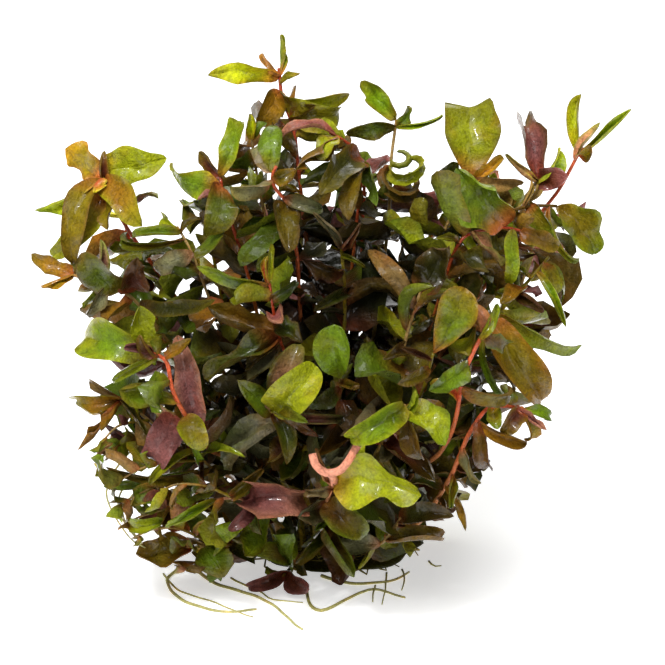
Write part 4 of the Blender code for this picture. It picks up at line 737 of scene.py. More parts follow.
LEAF_WIDEST = 0.76
LEAF_ROUNDNESS = 0.64
LEAST_LEAF_WIDTH = 1.85
FINE_THICKNESS = 0.2
FINE_FULLNESS = 0.93
CRUMPLE_SPACING = 2.2
HABIT = {
    "lift": (0.2, 0.7), "length": (7.5, 10.0), "width": (0.46, 0.6), "cup": (0.3, 0.8),
    "arch": (-0.18, 0.02), "bend": (-0.08, 0.08), "twist": (-25, 25), "crowding": False,
}


def blade_frame(shape, along):
    """A leaf's midrib at this share of its length, with its outward and upward directions."""
    base, tip, face = shape["base"], shape["tip"], shape["face"]
    run = tip - base
    length = run.length
    ahead = run / length
    side = ahead.cross(face).normalized()
    turned = Matrix.Rotation(math.radians(shape["twist"]) * (along - 0.5), 3, ahead)
    outward = turned @ side
    upward = turned @ face
    bow = 4 * along * (1 - along) * length
    middle = base + run * along + face * shape["arch"] * bow + side * shape["bend"] * bow
    return middle, outward, upward


def blade_point(shape, along, across):
    """A point on a leaf's middle surface: along 0 at the base to 1 at the tip, across -1 to 1."""
    middle, outward, upward = blade_frame(shape, along)
    half = shape["width"] / 2 * LEAF_FULLNESS * outline(along)
    cup = max(shape["cup"], LEAST_CUP)
    angle = cup * across
    return middle + (outward * math.sin(angle) + upward * (1 - math.cos(angle))) * half / cup


def outline(along):
    """How wide a leaf is at this share of its length: ovate, with a point at each end."""
    return math.sin(math.pi * min(along, LEAF_POINT) ** LEAF_WIDEST) ** LEAF_ROUNDNESS


def at_rim(along, across):
    """Whether a place on a leaf is on its rim."""
    return abs(across) > 1 - RIM or along < RIM or along > 1 - RIM


def blade_mesh(shape, thickness):
    """A closed plain leaf: two curved sheets, apart inside and sewn together at the rim."""
    rows, columns = PLAIN_GRID
    bm = bmesh.new()
    bmesh.ops.create_grid(bm, x_segments=columns, y_segments=rows, size=1)
    bmesh.ops.duplicate(bm, geom=bm.verts[:] + bm.edges[:] + bm.faces[:])
    bm.verts.ensure_lookup_table()
    sheet = len(bm.verts) // 2
    bmesh.ops.reverse_faces(bm, faces=bm.faces[len(bm.faces) // 2 :])
    for i, vert in enumerate(bm.verts):
        across, along = vert.co.x, (vert.co.y + 1) / 2
        spot = blade_point(shape, along, across)
        if not at_rim(along, across):
            right = blade_point(shape, along, across + NUDGE)
            left = blade_point(shape, along, across - NUDGE)
            ahead = blade_point(shape, along + NUDGE, across)
            behind = blade_point(shape, along - NUDGE, across)
            outward = (right - left).cross(ahead - behind).normalized()
            spot += outward * thickness / 2 * (1 if i < sheet else -1)
        vert.co = spot
    bmesh.ops.remove_doubles(bm, verts=bm.verts[:], dist=PLAIN_MERGING)
    return bm


def leaf_shape(row, line, along, radius, back):
    """Where a leaf from the table sits, and how it grew, as no two leaves are alike."""
    spot = at_count(line, along, row["at"], back, 0 if row["own"] else 1)
    tip = place(*row["tip"])
    ahead = (tip - spot).normalized()
    face = VIEW_NEAR - ahead * VIEW_NEAR.dot(ahead)
    draw = random.Random(f"{LEAF_SEED} {row['tip']}")
    turn = row["turn"] + draw.uniform(-1, 1) * (OWN_LEAF_TURN if row["own"] else LEAF_TURN)
    face = Matrix.Rotation(math.radians(turn), 3, ahead) @ face.normalized()
    base = spot + ahead * (radius + OWN_LEAF_GAP if row["own"] else -LEAF_ROOTING)
    shape = dict(row)
    shape.update(base=base, tip=tip, face=face, stem_spot=spot)
    shape["cup"] *= draw.uniform(*LEAF_CUPPING)
    shape["twist"] += draw.uniform(-1, 1) * LEAF_TWIST
    shape["arch"] += draw.uniform(*LEAF_ARCHING)
    shape["bend"] += draw.uniform(-1, 1) * LEAF_BENDING
    return shape


def grown_pair(spot, ahead, turn, draw, habit, hue_at, size=1, rooting=LEAF_ROOTING):
    """A pair of opposite leaves by rule: where they grow, the stem's way and its turn there."""
    shapes = []
    across = Matrix.Rotation(turn, 3, ahead) @ ahead.orthogonal().normalized()
    for sign in (1, -1):
        way = (across * sign + ahead * draw.uniform(*habit["lift"])).normalized()
        length = draw.uniform(*habit["length"]) * size
        shapes.append({
            **PLAIN_LEAF,
            "base": spot - way * rooting,
            "tip": spot + way * length,
            "face": (ahead - way * ahead.dot(way)).normalized(),
            "width": length * draw.uniform(*habit["width"]),
            "cup": draw.uniform(*habit["cup"]),
            "arch": draw.uniform(*habit["arch"]),
            "bend": draw.uniform(*habit["bend"]),
            "twist": draw.uniform(*habit["twist"]),
            "hue": hue_at(spot + way * length, draw),
            "crowding": habit["crowding"],
        })
    return shapes


def back_hue(_, draw):
    """Any hue of the far side."""
    return draw.choice(BACK_LEAF_HUES)


def leaf_pairs(line, shares, seed):
    """Leaf pairs by rule at these shares of a stem: each is turned a quarter from the last."""
    draw = random.Random(seed)
    shapes = []
    turn = draw.uniform(0, math.pi)
    for share in shares:
        i = min(round(share * (len(line) - 1)), len(line) - 2)
        spot = onto_tube(line, Vector(line[i]))
        ahead = (Vector(line[i]) - Vector(line[i - 2])).normalized()
        size = PAIR_AT_TIP if share == 1.0 else 1
        shapes += grown_pair(spot, ahead, turn, draw, HABIT, back_hue, size)
        turn += math.pi / 2
    return shapes


def lowest(shape):
    """The height of the leaf's lowest point over the surface, near enough."""
    places = [(along, across) for along in (0.3, 0.6, 1.0) for across in (-1, 0, 1)]
    return min(blade_point(shape, *spot).z for spot in places) - LEAF_SAG


# The leaf tissue
# Living leaf tissue under a film of rinsing water: green where it is young, olive, brown or
# burgundy where it is older. The film gives the small hard glints, the flesh the soft sheen.
HUES = {
    "lime": "92980C",
    "green": "627A0A",
    "deep": "465408",
    "olive": "6A5C06",
    "dark": "343404",
    "ochre": "8E640E",
    "brown": "58400C",
    "burgundy": "48200E",
    "purple": "7A4844",
    "salmon": "A87450",
    # The grey is a greyish olive, partly lightened as a painted sheen for leaves that look silvery
    "grey": "787650",
    "coral": "B4502C",
    "red": "96381A",
    "khaki": "8A6E3C",
    "root": "B2AA60",
}
RIMS = {
    "lime": ("green", "olive", "lime", "lime"),
    "green": ("lime", "deep", "olive", "lime"),
    "deep": ("green", "olive", "brown", "dark"),
    "olive": ("lime", "brown", "ochre", "green"),
    "dark": ("olive", "deep", "brown", "grey"),
    "ochre": ("olive", "lime", "brown", "olive"),
    "brown": ("ochre", "burgundy", "olive", "green"),
    "burgundy": ("brown", "olive", "purple", "olive"),
    "purple": ("green", "salmon", "burgundy", "purple"),
    "salmon": ("lime", "lime", "green", "ochre"),
    "grey": ("olive", "purple", "deep", "brown"),
    "red": ("coral", "ochre", "lime", "brown"),
    "khaki": ("salmon", "ochre", "olive", "brown"),
}


def linear(code):
    """The linear values of a colour given as sRGB hex."""
    parts = [int(code[i : i + 2], 16) / 255 for i in (0, 2, 4)]
    return [c / 12.92 if c <= 0.04045 else ((c + 0.055) / 1.055) ** 2.4 for c in parts]


def node(tree, kind, settings=(), **links):
    """A node with its settings, and with links or values for its inputs by name or number."""
    made = tree.nodes.new(f"ShaderNode{kind}")
    for name, value in dict(settings).items():
        setattr(made, name, value)
    for name, value in links.items():
        key = int(name[1:]) if name[1:].isdigit() else name.replace("_", " ")
        if isinstance(value, bpy.types.Node):
            value = value.outputs[0]
        if isinstance(value, bpy.types.NodeSocket):
            tree.links.new(value, made.inputs[key])
        else:
            made.inputs[key].default_value = value
    return made


# The patches, blushes, drops and film edges to a metre of tissue: the patches are about 1 mm
# across, the blushes 4 mm, the drops 0.3 mm and the film's edges 2 mm
PATCHES = 900.0
BLUSHES = 260.0
DROPS = 3200.0
FILM_EDGES = 420.0
WARMTH = (1.35, 0.78, 0.5)
RELIEF = 0.0004
ADDED = {"operation": "MULTIPLY_ADD"}


def tissue(name, roughness, wetness, veined):
    """Wet plant tissue whose colour is the piece's own, with painted light and shade in it on a
    leaf, mottled, and veined on a leaf.
    """
    made = bpy.data.materials.new(name)
    made.use_nodes = True
    tree = made.node_tree
    shader = tree.nodes["Principled BSDF"]
    flesh = node(tree, "Attribute", {"attribute_name": "flesh"})
    spot = node(tree, "TexCoord")
    here = spot.outputs["Object"]
    mottle = node(tree, "TexNoise", Vector=here, Scale=PATCHES, Detail=3.0, Roughness=0.6)
    patches = node(tree, "MapRange", _0=mottle, _1=0.3, _2=0.7, _3=0.72, _4=1.25)
    height = mottle
    shade = patches
    if veined:
        uv = node(tree, "SeparateXYZ", _0=spot.outputs["UV"])
        off = node(tree, "Math", {"operation": "SUBTRACT"}, _0=uv.outputs[0], _1=0.5)
        side = node(tree, "Math", {"operation": "ABSOLUTE"}, _0=off)
        rib = node(tree, "MapRange", _0=side, _1=0.0, _2=0.035, _3=0.5, _4=0.0)
        slant = node(tree, "Math", ADDED, _0=side, _1=-9.0, _2=0.0)
        count = node(tree, "Math", ADDED, _0=uv.outputs[1], _1=46.0, _2=slant)
        wave = node(tree, "Math", {"operation": "SINE"}, _0=count)
        vein = node(tree, "MapRange", _0=wave, _1=0.2, _2=1.0, _3=0.0, _4=0.12)
        veins = node(tree, "Math", {"operation": "MAXIMUM"}, _0=rib, _1=vein)
        shade = node(tree, "Math", ADDED, _0=veins, _1=0.12, _2=patches)
        height = node(tree, "Math", ADDED, _0=veins, _1=-0.35, _2=mottle)
    blush = node(tree, "TexNoise", Vector=here, Scale=BLUSHES, Detail=2.0)
    blushed = node(tree, "MapRange", _0=blush, _1=0.52, _2=0.7, _3=0.0, _4=0.45)
    warm = node(tree, "VectorMath", {"operation": "MULTIPLY"}, _0=flesh, _1=WARMTH)
    tinted = node(tree, "Mix", {"data_type": "RGBA"}, _0=blushed, _6=flesh, _7=warm)
    drops = node(tree, "TexNoise", Vector=here, Scale=DROPS, Detail=1.0)
    speckle = node(tree, "MapRange", _0=drops, _1=0.3, _2=0.7, _3=-0.16, _4=0.18)
    speckled = node(tree, "Math", {"operation": "ADD"}, _0=shade, _1=speckle)
    colour = node(
        tree, "VectorMath", {"operation": "SCALE"}, _0=tinted.outputs[2], Scale=speckled
    )
    low, high = roughness - 0.08, roughness + 0.12
    gloss = node(tree, "MapRange", _0=mottle, _1=0.3, _2=0.7, _3=low, _4=high)
    film = node(tree, "TexNoise", Vector=here, Scale=FILM_EDGES, Detail=4.0, Roughness=0.7)
    wet = node(tree, "MapRange", _0=film, _1=0.42, _2=0.58, _3=0.05, _4=wetness)
    beaded = node(tree, "Math", ADDED, _0=drops, _1=0.35, _2=height)
    grain = node(tree, "Math", ADDED, _0=film, _1=0.9, _2=beaded)
    bump = node(tree, "Bump", Strength=0.9, Distance=RELIEF, Height=grain)
    for made_by, socket in (
        (wet, "Coat Weight"), (colour, "Base Color"), (gloss, "Roughness"), (bump, "Normal"),
    ):
        tree.links.new(made_by.outputs[0], shader.inputs[socket])
    for socket, value in (
        ("IOR", 1.4), ("Specular IOR Level", 0.2), ("Coat Roughness", 0.09), ("Coat IOR", 1.33),
    ):
        shader.inputs[socket].default_value = value
    return made


leaf_tissue = tissue("wet_leaf_tissue", 0.5, 1.0, True)
stem_tissue = tissue("wet_stem_tissue", 0.45, 0.7, False)


def mixed(one, other, share):
    """A colour part of the way from one to the other."""
    return [a + (b - a) * share for a, b in zip(one, other)]


# Painted light and shade: leaves deep inside, low down and in the front's middle are painted
# darker, leaves high up painted lighter
CLUMP_CENTRE = Vector((-1.0, 1.0, 31.0))
CLUMP_REACH = (34.0, 28.0, 31.0)
SHADES = (0.3, 1.16)
OUTERMOST = 1.05
RISING_SHADES = (0.008, 0.017)
HIGHEST_SHADE = 22
FRONT_SHADE = 0.34


def outwardness(point):
    """How far out a point is in the clump: 0 at its centre, 1 at its surface."""
    reach = point - CLUMP_CENTRE
    return Vector([reach[k] / CLUMP_REACH[k] for k in range(3)]).length


def painted_light_and_shade(shape):
    """How light a leaf's tissue is painted by its place in the clump: painted shade inside, low
    down and in the front's middle, painted light high up.
    """
    middle = (shape["base"] + shape["tip"]) / 2
    outward = min(outwardness(middle), OUTERMOST)
    across, up, near = seen_at(middle)
    light = SHADES[0] + (SHADES[1] - SHADES[0]) * outward**2
    light *= 1 + RISING_SHADES[up > 0] * min(up, HIGHEST_SHADE)
    if near > 0:
        light *= 1 - FRONT_SHADE * max(1 - (across**2 + up**2) / CLUMP_REACH[0] ** 2, 0)
    return light


# How a blade grew where its form doesn't say: two choices stand for a leaf of the tables and
# one that crowds. The leaves at the front are turned a little towards the eye.
HAND_FACING = 0.25
RUFFLES = ((0.08, 0.16, 0.24, 0.32), (0.05, 0.12, 0.18, 0.24))
RUFFLED_WIDTH = 5
BUCKLES = (-0.08, 0.08)
CRUMPLES = (0.06, 0.2)
FOLDS = (-0.3, 0, 0.15, 0.35, 0.7)
BLADE_RANGES = {
    "lopside": (-0.6, 0.6), "waves": (0.7, 1.7), "phase": (0, 1), "skew": (0.15, 0.6),
    "lobes": (0.03, 0.2), "widest": (0.7, 1.1), "bluntness": (0.36, 0.66),
}
CURLS = ((-1.1, 1.6), (-1.4, 2.3))
CURL_STARTS = (0.35, 0.65)
ROLL = 28
CUPPINGS = (0.8, 1.3)
CROWDED_CUPPINGS = (0.7, 1, 1.3, 1.7)
MOST_CUP = 2.6
LIGHTS = (0.7, 1.15)
TIP_RUFFLE = 0.35
RUFFLE_SPREAD = 1.8
RIB_DEPTH = 0.022
RIB_WIDTH = 0.16
LEAST_CURL = 0.05
FINE_MERGING = 0.01
FOOT_TINTS = (0.15, 0.3, 0.5, 0.75)
FOOT_SHARE = 0.3
RIM_FROM = 0.55
RIM_TINT = 0.75
UNDERSIDE_TINT = 0.15


class Growth:
    """One piece of the plant while it is being made: its mesh and its colour layer."""

    def __init__(self):
        self.bm = bmesh.new()
        self.flesh = self.bm.verts.layers.float_color.new("flesh")
        self.bm.loops.layers.uv.new("blade")

    def blade(self, shape, rows, columns, draw):
        """A fine leaf: two ruffled sheets sewn at the rim, coloured from rib to rim."""
        bm = self.bm
        crowding = shape["crowding"]
        width = shape["width"]
        shape = dict(
            shape,
            ruffle=draw.choice(RUFFLES[crowding]) * min(width, RUFFLED_WIDTH),
            buckle=draw.uniform(*BUCKLES) * width,
            crumple=draw.uniform(*CRUMPLES) * width,
            fold=draw.choice(FOLDS),
            **{name: draw.uniform(*span) for name, span in BLADE_RANGES.items()},
            curl=draw.uniform(*CURLS[crowding]),
            curl_from=draw.uniform(*CURL_STARTS),
            roll=0 if shape["own"] else draw.uniform(-ROLL, ROLL),
        )
        cupping = draw.choice(CROWDED_CUPPINGS) if crowding else draw.uniform(*CUPPINGS)
        shape["cup"] = min(shape["cup"] * cupping, MOST_CUP)
        # A leaf's lightness: its own random tone times the painted light and shade of its place,
        # unless its form sets one
        shape["light"] = draw.uniform(*LIGHTS) * painted_light_and_shade(shape)
        shape["facing"] = 0 if crowding or shape["base"].y > 0 else HAND_FACING
        shape.update(shape["form"])
        ahead = (shape["tip"] - shape["base"]).normalized()
        forward = (VIEW_NEAR - ahead * ahead.dot(VIEW_NEAR)).normalized()
        face = shape["face"].lerp(forward, shape["facing"]).normalized()
        shape["face"] = Matrix.Rotation(math.radians(shape["roll"]), 3, ahead) @ face
        hue = linear(HUES[shape["hue"]])
        rim = linear(HUES[shape["rim"] or draw.choice(RIMS[shape["hue"]])])
        foot = mixed(hue, linear(HUES["coral"]), draw.choice(FOOT_TINTS))
        made = bmesh.ops.create_grid(
            bm, x_segments=columns, y_segments=rows, size=1, calc_uvs=True
        )
        top = made["verts"]
        faces = list({face for vert in top for face in vert.link_faces})
        edges = list({edge for vert in top for edge in vert.link_edges})
        copied = bmesh.ops.duplicate(bm, geom=[*top, *edges, *faces])["geom"]
        under = [g for g in copied if isinstance(g, bmesh.types.BMVert)]
        under_faces = [g for g in copied if isinstance(g, bmesh.types.BMFace)]
        bmesh.ops.reverse_faces(bm, faces=under_faces)
        for sheet, sign in ((top, 1), (under, -1)):
            for vert in sheet:
                across, along = vert.co.x, (vert.co.y + 1) / 2
                sewn = at_rim(along, across)
                along = 0.5 * along + 0.25 * (1 - math.cos(math.pi * along))
                spot = fine_point(shape, along, across)
                if not sewn:
                    nudge = fine_point(shape, along, across + NUDGE) - spot
                    reach = fine_point(shape, along + NUDGE, across) - spot
                    spot += nudge.cross(reach).normalized() * FINE_THICKNESS / 2 * sign
                vert.co = spot
                rimmed = max(abs(across) ** 3, (along - RIM_FROM) / (1 - RIM_FROM))
                paint = mixed(hue, rim, min(rimmed * RIM_TINT, 1))
                paint = mixed(foot, paint, min(along / FOOT_SHARE, 1))
                if sign < 0:
                    paint = mixed(paint, linear(HUES["purple"]), UNDERSIDE_TINT)
                # The flesh colour is scaled by the leaf's lightness, which holds the painted light
                # and shade
                vert[self.flesh] = (*[c * shape["light"] for c in paint], 1)
        bmesh.ops.remove_doubles(bm, verts=[*top, *under], dist=FINE_MERGING)
        below = set(under_faces)
        for face in faces:
            for edge in face.edges:
                if any(other in below for other in edge.link_faces):
                    edge.smooth = False

    def stalk(self, line, radii, sides, foot_hue, tip_hue):
        """A fine stem along these points, its colour passing from the foot's to the tip's."""
        before = set(self.bm.faces)
        rings = tube_rings(self.bm, line, radii, sides)
        sew_rings(self.bm, rings)
        for face in set(self.bm.faces) - before:
            face.material_index = 1
        for i, ring in enumerate(rings):
            share = i / (len(rings) - 1)
            paint = mixed(foot_hue, tip_hue, min(share**2 * 1.5, 1))
            for vert in ring:
                vert[self.flesh] = (*paint, 1)

    def finish(self, name):
        """The finished piece, in metres, riding with the clump."""
        bm = self.bm
        bmesh.ops.scale(bm, vec=(MM, MM, MM), verts=bm.verts[:])
        mesh = bpy.data.meshes.new(name)
        bm.to_mesh(mesh)
        bm.free()
        mesh.shade_smooth()
        mesh.materials.append(leaf_tissue)
        mesh.materials.append(stem_tissue)
        piece = bpy.data.objects.new(name, mesh)
        bpy.context.scene.collection.objects.link(piece)
        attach(piece, "root")
        return piece


def fine_point(shape, along, across):
    """A point on a leaf's fine surface: folded, buckled and ruffled, its tip curled over."""
    along = min(along, LEAF_POINT)
    middle, outward, upward = blade_frame(shape, along)
    side = 1 if across > 0 else -1
    away = abs(across)
    turn = 2 * math.pi * (shape["waves"] * along + shape["phase"])
    if side > 0:
        turn += 2 * math.pi * shape["skew"]
    wide = math.sin(math.pi * along ** shape["widest"]) ** shape["bluntness"]
    wide *= 1 + shape["lobes"] * math.sin(turn * 1.4 + 2)
    half = shape["width"] / 2 * LEAF_FULLNESS * FINE_FULLNESS * wide
    cup = max(shape["cup"] * (1 + side * shape["lopside"]), LEAST_CUP)
    out = math.sin(cup * away) * half / cup
    rise = (1 - math.cos(cup * away)) * half / cup
    fold = shape["fold"]
    out, rise = (
        out * math.cos(fold) - rise * math.sin(fold), out * math.sin(fold) + rise * math.cos(fold)
    )
    inward = math.sin(math.pi * along)
    swell = TIP_RUFFLE + (1 - TIP_RUFFLE) * inward
    rise += shape["ruffle"] * math.sin(turn) * away**RUFFLE_SPREAD * swell
    rise += shape["buckle"] * math.sin(turn * 1.7 + 1) * (1 - away * away) * inward
    rise -= RIB_DEPTH * shape["width"] * math.exp(-((away / RIB_WIDTH) ** 2)) * inward
    spot = middle + outward * out * side + upward * rise
    crumple = noise.noise(spot / CRUMPLE_SPACING + Vector((shape["phase"] * 9, 0, 0)))
    spot += shape["face"] * crumple * shape["crumple"] * inward
    past = along - shape["curl_from"]
    if past <= 0 or abs(shape["curl"]) < LEAST_CURL:
        return spot
    run = shape["tip"] - shape["base"]
    length = run.length
    ahead = run / length
    hinge = shape["base"] + run * shape["curl_from"]
    above = (spot - hinge).dot(shape["face"])
    room = 1 - shape["curl_from"]
    angle = shape["curl"] * past / room
    reach = math.sin(angle) / shape["curl"] * room * length + above * math.sin(angle)
    fall = (math.cos(angle) - 1) / shape["curl"] * room * length + above * (math.cos(angle) - 1)
    return spot + ahead * (reach - past * length) + shape["face"] * fall


FINE_STEP = 0.6
EASINGS = 4


def fine_line(line):
    """The stem's straight runs, cut into short steps and eased at the bends."""
    bends = [Vector(line[i]) for i in kept_bends(line)]
    points = []
    for start, end in zip(bends, bends[1:]):
        steps = max(1, round((end - start).length / FINE_STEP))
        points += [start.lerp(end, k / steps) for k in range(steps)]
    points.append(bends[-1])
    for _ in range(EASINGS):
        eased = [(a + b * 2 + c) / 4 for a, b, c in zip(points, points[1:], points[2:])]
        points = [points[0], *eased, points[-1]]
    return points


# The leaves' places
# First the leaves of the tables take their places, then the pairs of the far side and of the
# inside. A leaf that would cut a neighbour swings about its base until it clears it.
MOST_LEAVES = 6000
STEM_CLEARANCE = 0.1
placed = []
boxes = np.zeros((MOST_LEAVES, 2, 3))


def solid_of(owner, kind, bm):
    """A leaf or stem that others keep clear of: whose it is, its kind, its tree and its box."""
    points = np.array([vert.co for vert in bm.verts])
    tree = BVHTree.FromBMesh(bm)
    bm.free()
    return owner, kind, tree, points.min(axis=0), points.max(axis=0)


def keep_clear_of(solid):
    """Adds a leaf or stem to those that later ones keep clear of."""
    boxes[len(placed)] = solid[3:]
    placed.append(solid[:3])


def is_clear(solid, spares_leaves):
    """Whether a leaf touches none of the placed ones, apart from its own stem and leaves."""
    owner, _, leaf_tree, low, high = solid
    taken = boxes[: len(placed)]
    beside = ((taken[:, 0] <= high) & (taken[:, 1] >= low)).all(axis=1)
    for i in np.flatnonzero(beside):
        other, kind, tree = placed[i]
        if other == owner and (spares_leaves or kind == "stem"):
            continue
        if tree.overlap(leaf_tree):
            return False
    return True


def find_room(shape, owner, swings, sways, spares_leaves):
    """The leaf, swung about its base until it clears its neighbours, or None if it can't."""
    ahead = (shape["tip"] - shape["base"]).normalized()
    side = ahead.cross(shape["face"]).normalized()
    length = (shape["tip"] - shape["base"]).length
    for swing in swings:
        for sway in sways:
            turn = Matrix.Rotation(math.radians(swing), 3, side)
            turn = Matrix.Rotation(math.radians(sway), 3, shape["face"]) @ turn
            tip = shape["base"] + turn @ ahead * length
            tried = dict(shape, tip=tip, face=turn @ shape["face"])
            if lowest(tried) < LEAST_LEAF_HEIGHT:
                continue
            if tried["crowding"] and not stays_behind(tried):
                continue
            bm = blade_mesh(tried, LEAF_THICKNESS + 2 * LEAF_CLEARANCE)
            solid = solid_of(owner, "leaf", bm)
            if is_clear(solid, spares_leaves):
                return tried, solid
    return None


# The order in which leaves take their places. Those of the tables that are too narrow for a
# solid come after the far side's and stay even where they touch.
OWN, SHOWN, FAR, INNER, NARROW, CROWD, SMALL = range(7)
grown = stem_routes()
for name, entry in grown.items():
    keep_clear_of(solid_of(name, "stem", grow_stem(entry, STEM_CLEARANCE)))
leaves_of = {name: [] for name in grown}
own_leaves = []
rows = []
for name, (radius, _, line, along, leaves) in grown.items():
    seen = []
    for row in leaves:
        back = seen.count(row["at"]) // 2
        seen.append(row["at"])
        order = OWN if row["own"] else SHOWN
        if row["width"] < LEAST_LEAF_WIDTH:
            order = NARROW
        rows.append((order, name, leaf_shape(row, line, along, radius, back)))
for number, name in enumerate(grown):
    if name.startswith("back"):
        rows += [(FAR, name, s) for s in leaf_pairs(grown[name][2], BACK_PAIRS, number)]
    elif name in INNER_STEMS:
        rows += [(INNER, name, s) for s in leaf_pairs(grown[name][2], INNER_PAIRS, number)]
for order, name, shape in sorted(rows, key=lambda r: r[0]):
    owner = shape["own"] or name
    found = find_room(shape, owner, LEAF_SWINGS, LEAF_SWAYS, True)
    if not found:
        if order != NARROW:
            continue
        found = (shape, solid_of(owner, "leaf", blade_mesh(shape, LEAF_THICKNESS)))
    settled, solid = found
    keep_clear_of(solid)
    if shape["own"]:
        own_leaves.append(settled)
    else:
        leaves_of[name].append((order, settled))

# The crowding leaves
# Every stem carries a pair of leaves at each joint, a few millimetres apart. These fill the
# clump wherever there is room, inside its seen edge and behind the leaves that show.
CLUMP_EDGE = [
    (-34, 4), (-33, 10.5), (-30, 14.5), (-26.5, 12), (-21, 11.5), (-18.5, 16.5), (-14.5, 21),
    (-12, 26), (-9, 29.5), (-5.5, 31), (0.5, 28.5), (2, 25.5), (5, 23), (8.5, 18), (11.5, 18),
    (12.5, 23), (17, 25.5), (19.5, 21), (23.5, 18), (28.5, 17), (31.5, 12), (30.5, 5.5),
    (29.5, 0.5), (28.5, -6), (26.5, -12), (23.5, -14.5), (19.5, -18.5), (15.5, -23.5),
    (12, -28), (7, -30), (-0.5, -32), (-4, -33.5), (-9, -32.5), (-16, -31), (-23, -29.5),
    (-26, -26), (-29, -19.5), (-31.5, -13.5), (-31, -6), (-32, -0.5),
]
# The two passes, of longer leaves and then of small ones: the first point along a stem and
# the step from pair to pair, and how far a leaf may swing and sway to find room
CROWD_PASSES = (
    (CROWD, 5, 3, (5.5, 10.0), (0, 18, -18, 36, -36), (0, 24, -24)),
    (SMALL, 6, 2, (2.4, 5.0), (0, 25, -25), (0, 30)),
)
CROWD_HABIT = {
    "lift": (0.1, 0.8), "width": (0.46, 0.74), "cup": (0.4, 1.6), "arch": (-0.26, 0.16),
    "bend": (-0.14, 0.14), "twist": (-50, 50), "crowding": True,
}
HIGH_HUES = ["lime", "green", "olive", "green", "ochre", "green", "olive", "lime", "deep"]
LOW_HUES = ["olive", "dark", "deep", "burgundy", "dark", "deep", "green", "brown", "grey"]
# Dark hues for crowding leaves deep inside the clump: painted shade
INSIDE_SHADE_HUES = ["dark", "deep", "dark", "dark", "brown"]
INSIDE = 0.55
HIGH_FROM = -4
FAR_FROM = -4
SHOWN_STEMS = (
    "top_stem", "arching_stem", "coral_stem", "dark_red_stem", "hooked_coral_stem",
    "coral_double_stem", "right_coral_stem", "red_node_stem", "right_top_stem", "bud_stem",
    "front_low_stem",
)
SHOWN_FROM = 0.55
SHOWN_MARGIN = 0.5
PROBED_ALONG = (0.3, 0.65, LEAF_POINT)
PROBED_ACROSS = (-0.9, 0, 0.9)
LOOK_PAST = 0.05
MOST_HIDING = 1


def inside_edge(across, up):
    """Whether this place on the viewing plane is within the crowded part of the clump."""
    inside = False
    for (x1, y1), (x2, y2) in zip(CLUMP_EDGE, CLUMP_EDGE[1:] + CLUMP_EDGE[:1]):
        if (y1 > up) != (y2 > up) and across < (x2 - x1) * (up - y1) / (y2 - y1) + x1:
            inside = not inside
    return inside


def joined_tree(solids):
    """One tree of all these leaves and stems."""
    points = []
    faces = []
    for bm in solids:
        bm.verts.index_update()
        start = len(points)
        points += [vert.co.copy() for vert in bm.verts]
        faces += [[start + vert.index for vert in face.verts] for face in bm.faces]
        bm.free()
    return BVHTree.FromPolygons(points, faces)


def shown_length(name):
    """The part of a stem that shows between the leaves, made broad so that it stays in view."""
    radius, hue, line = grown[name][:3]
    return grow_stem([radius, hue, line[int(len(line) * SHOWN_FROM) :]], SHOWN_MARGIN)


shown = [s for own in leaves_of.values() for order, s in own if order in (SHOWN, NARROW)]
shown = [blade_mesh(shape, LEAF_THICKNESS) for shape in shown + own_leaves]
shown_tree = joined_tree(shown + [shown_length(name) for name in SHOWN_STEMS])
eye_point = VIEW_CENTRE + VIEW_NEAR * VIEW_DISTANCE
low_corner = cad_low / MM
high_corner = cad_high / MM


def stays_behind(shape):
    """Whether a crowding leaf keeps inside the clump's edge and box and hides no shown leaf."""
    hidden = 0
    for along in PROBED_ALONG:
        for across in PROBED_ACROSS:
            point = blade_point(shape, along, across)
            left, up, _ = seen_at(point)
            if not inside_edge(left, up):
                return False
            if any(point[k] < low_corner[k] or point[k] > high_corner[k] for k in range(3)):
                return False
            away = (point - eye_point).normalized()
            if shown_tree.ray_cast(point + away * LOOK_PAST, away)[0]:
                hidden += 1
    return hidden <= MOST_HIDING


def crowd_hue(point, draw):
    """A leaf's hue by where it grows: lit and young above, older below, and dark inside as painted
    shade.
    """
    _, up, near = seen_at(point)
    if outwardness(point) < INSIDE:
        return draw.choice(INSIDE_SHADE_HUES)
    if near < FAR_FROM:
        return draw.choice(BACK_LEAF_HUES)
    return draw.choice(HIGH_HUES if up > HIGH_FROM else LOW_HUES)


def crowd_rows(seed, first, step, lengths):
    """The pairs that might grow along every stem, in mixed order."""
    draw = random.Random(seed)
    habit = dict(CROWD_HABIT, length=lengths)
    made = []
    for name, entry in grown.items():
        line = entry[2]
        turn = draw.uniform(0, math.pi)
        for i in range(first, len(line) - 1, step):
            spot = onto_tube(line, Vector(line[i]))
            ahead = (Vector(line[i]) - Vector(line[i - 2])).normalized()
            pair = grown_pair(spot, ahead, turn, draw, habit, crowd_hue)
            made += [(name, shape) for shape in pair]
            turn += math.pi / 2
    draw.shuffle(made)
    return made


def settle(shape, name, order, swings, sways):
    """Lets a crowding leaf grow on its stem, where it finds room."""
    found = find_room(shape, name, swings, sways, False)
    if found:
        keep_clear_of(found[1])
        leaves_of[name].append((order, found[0]))


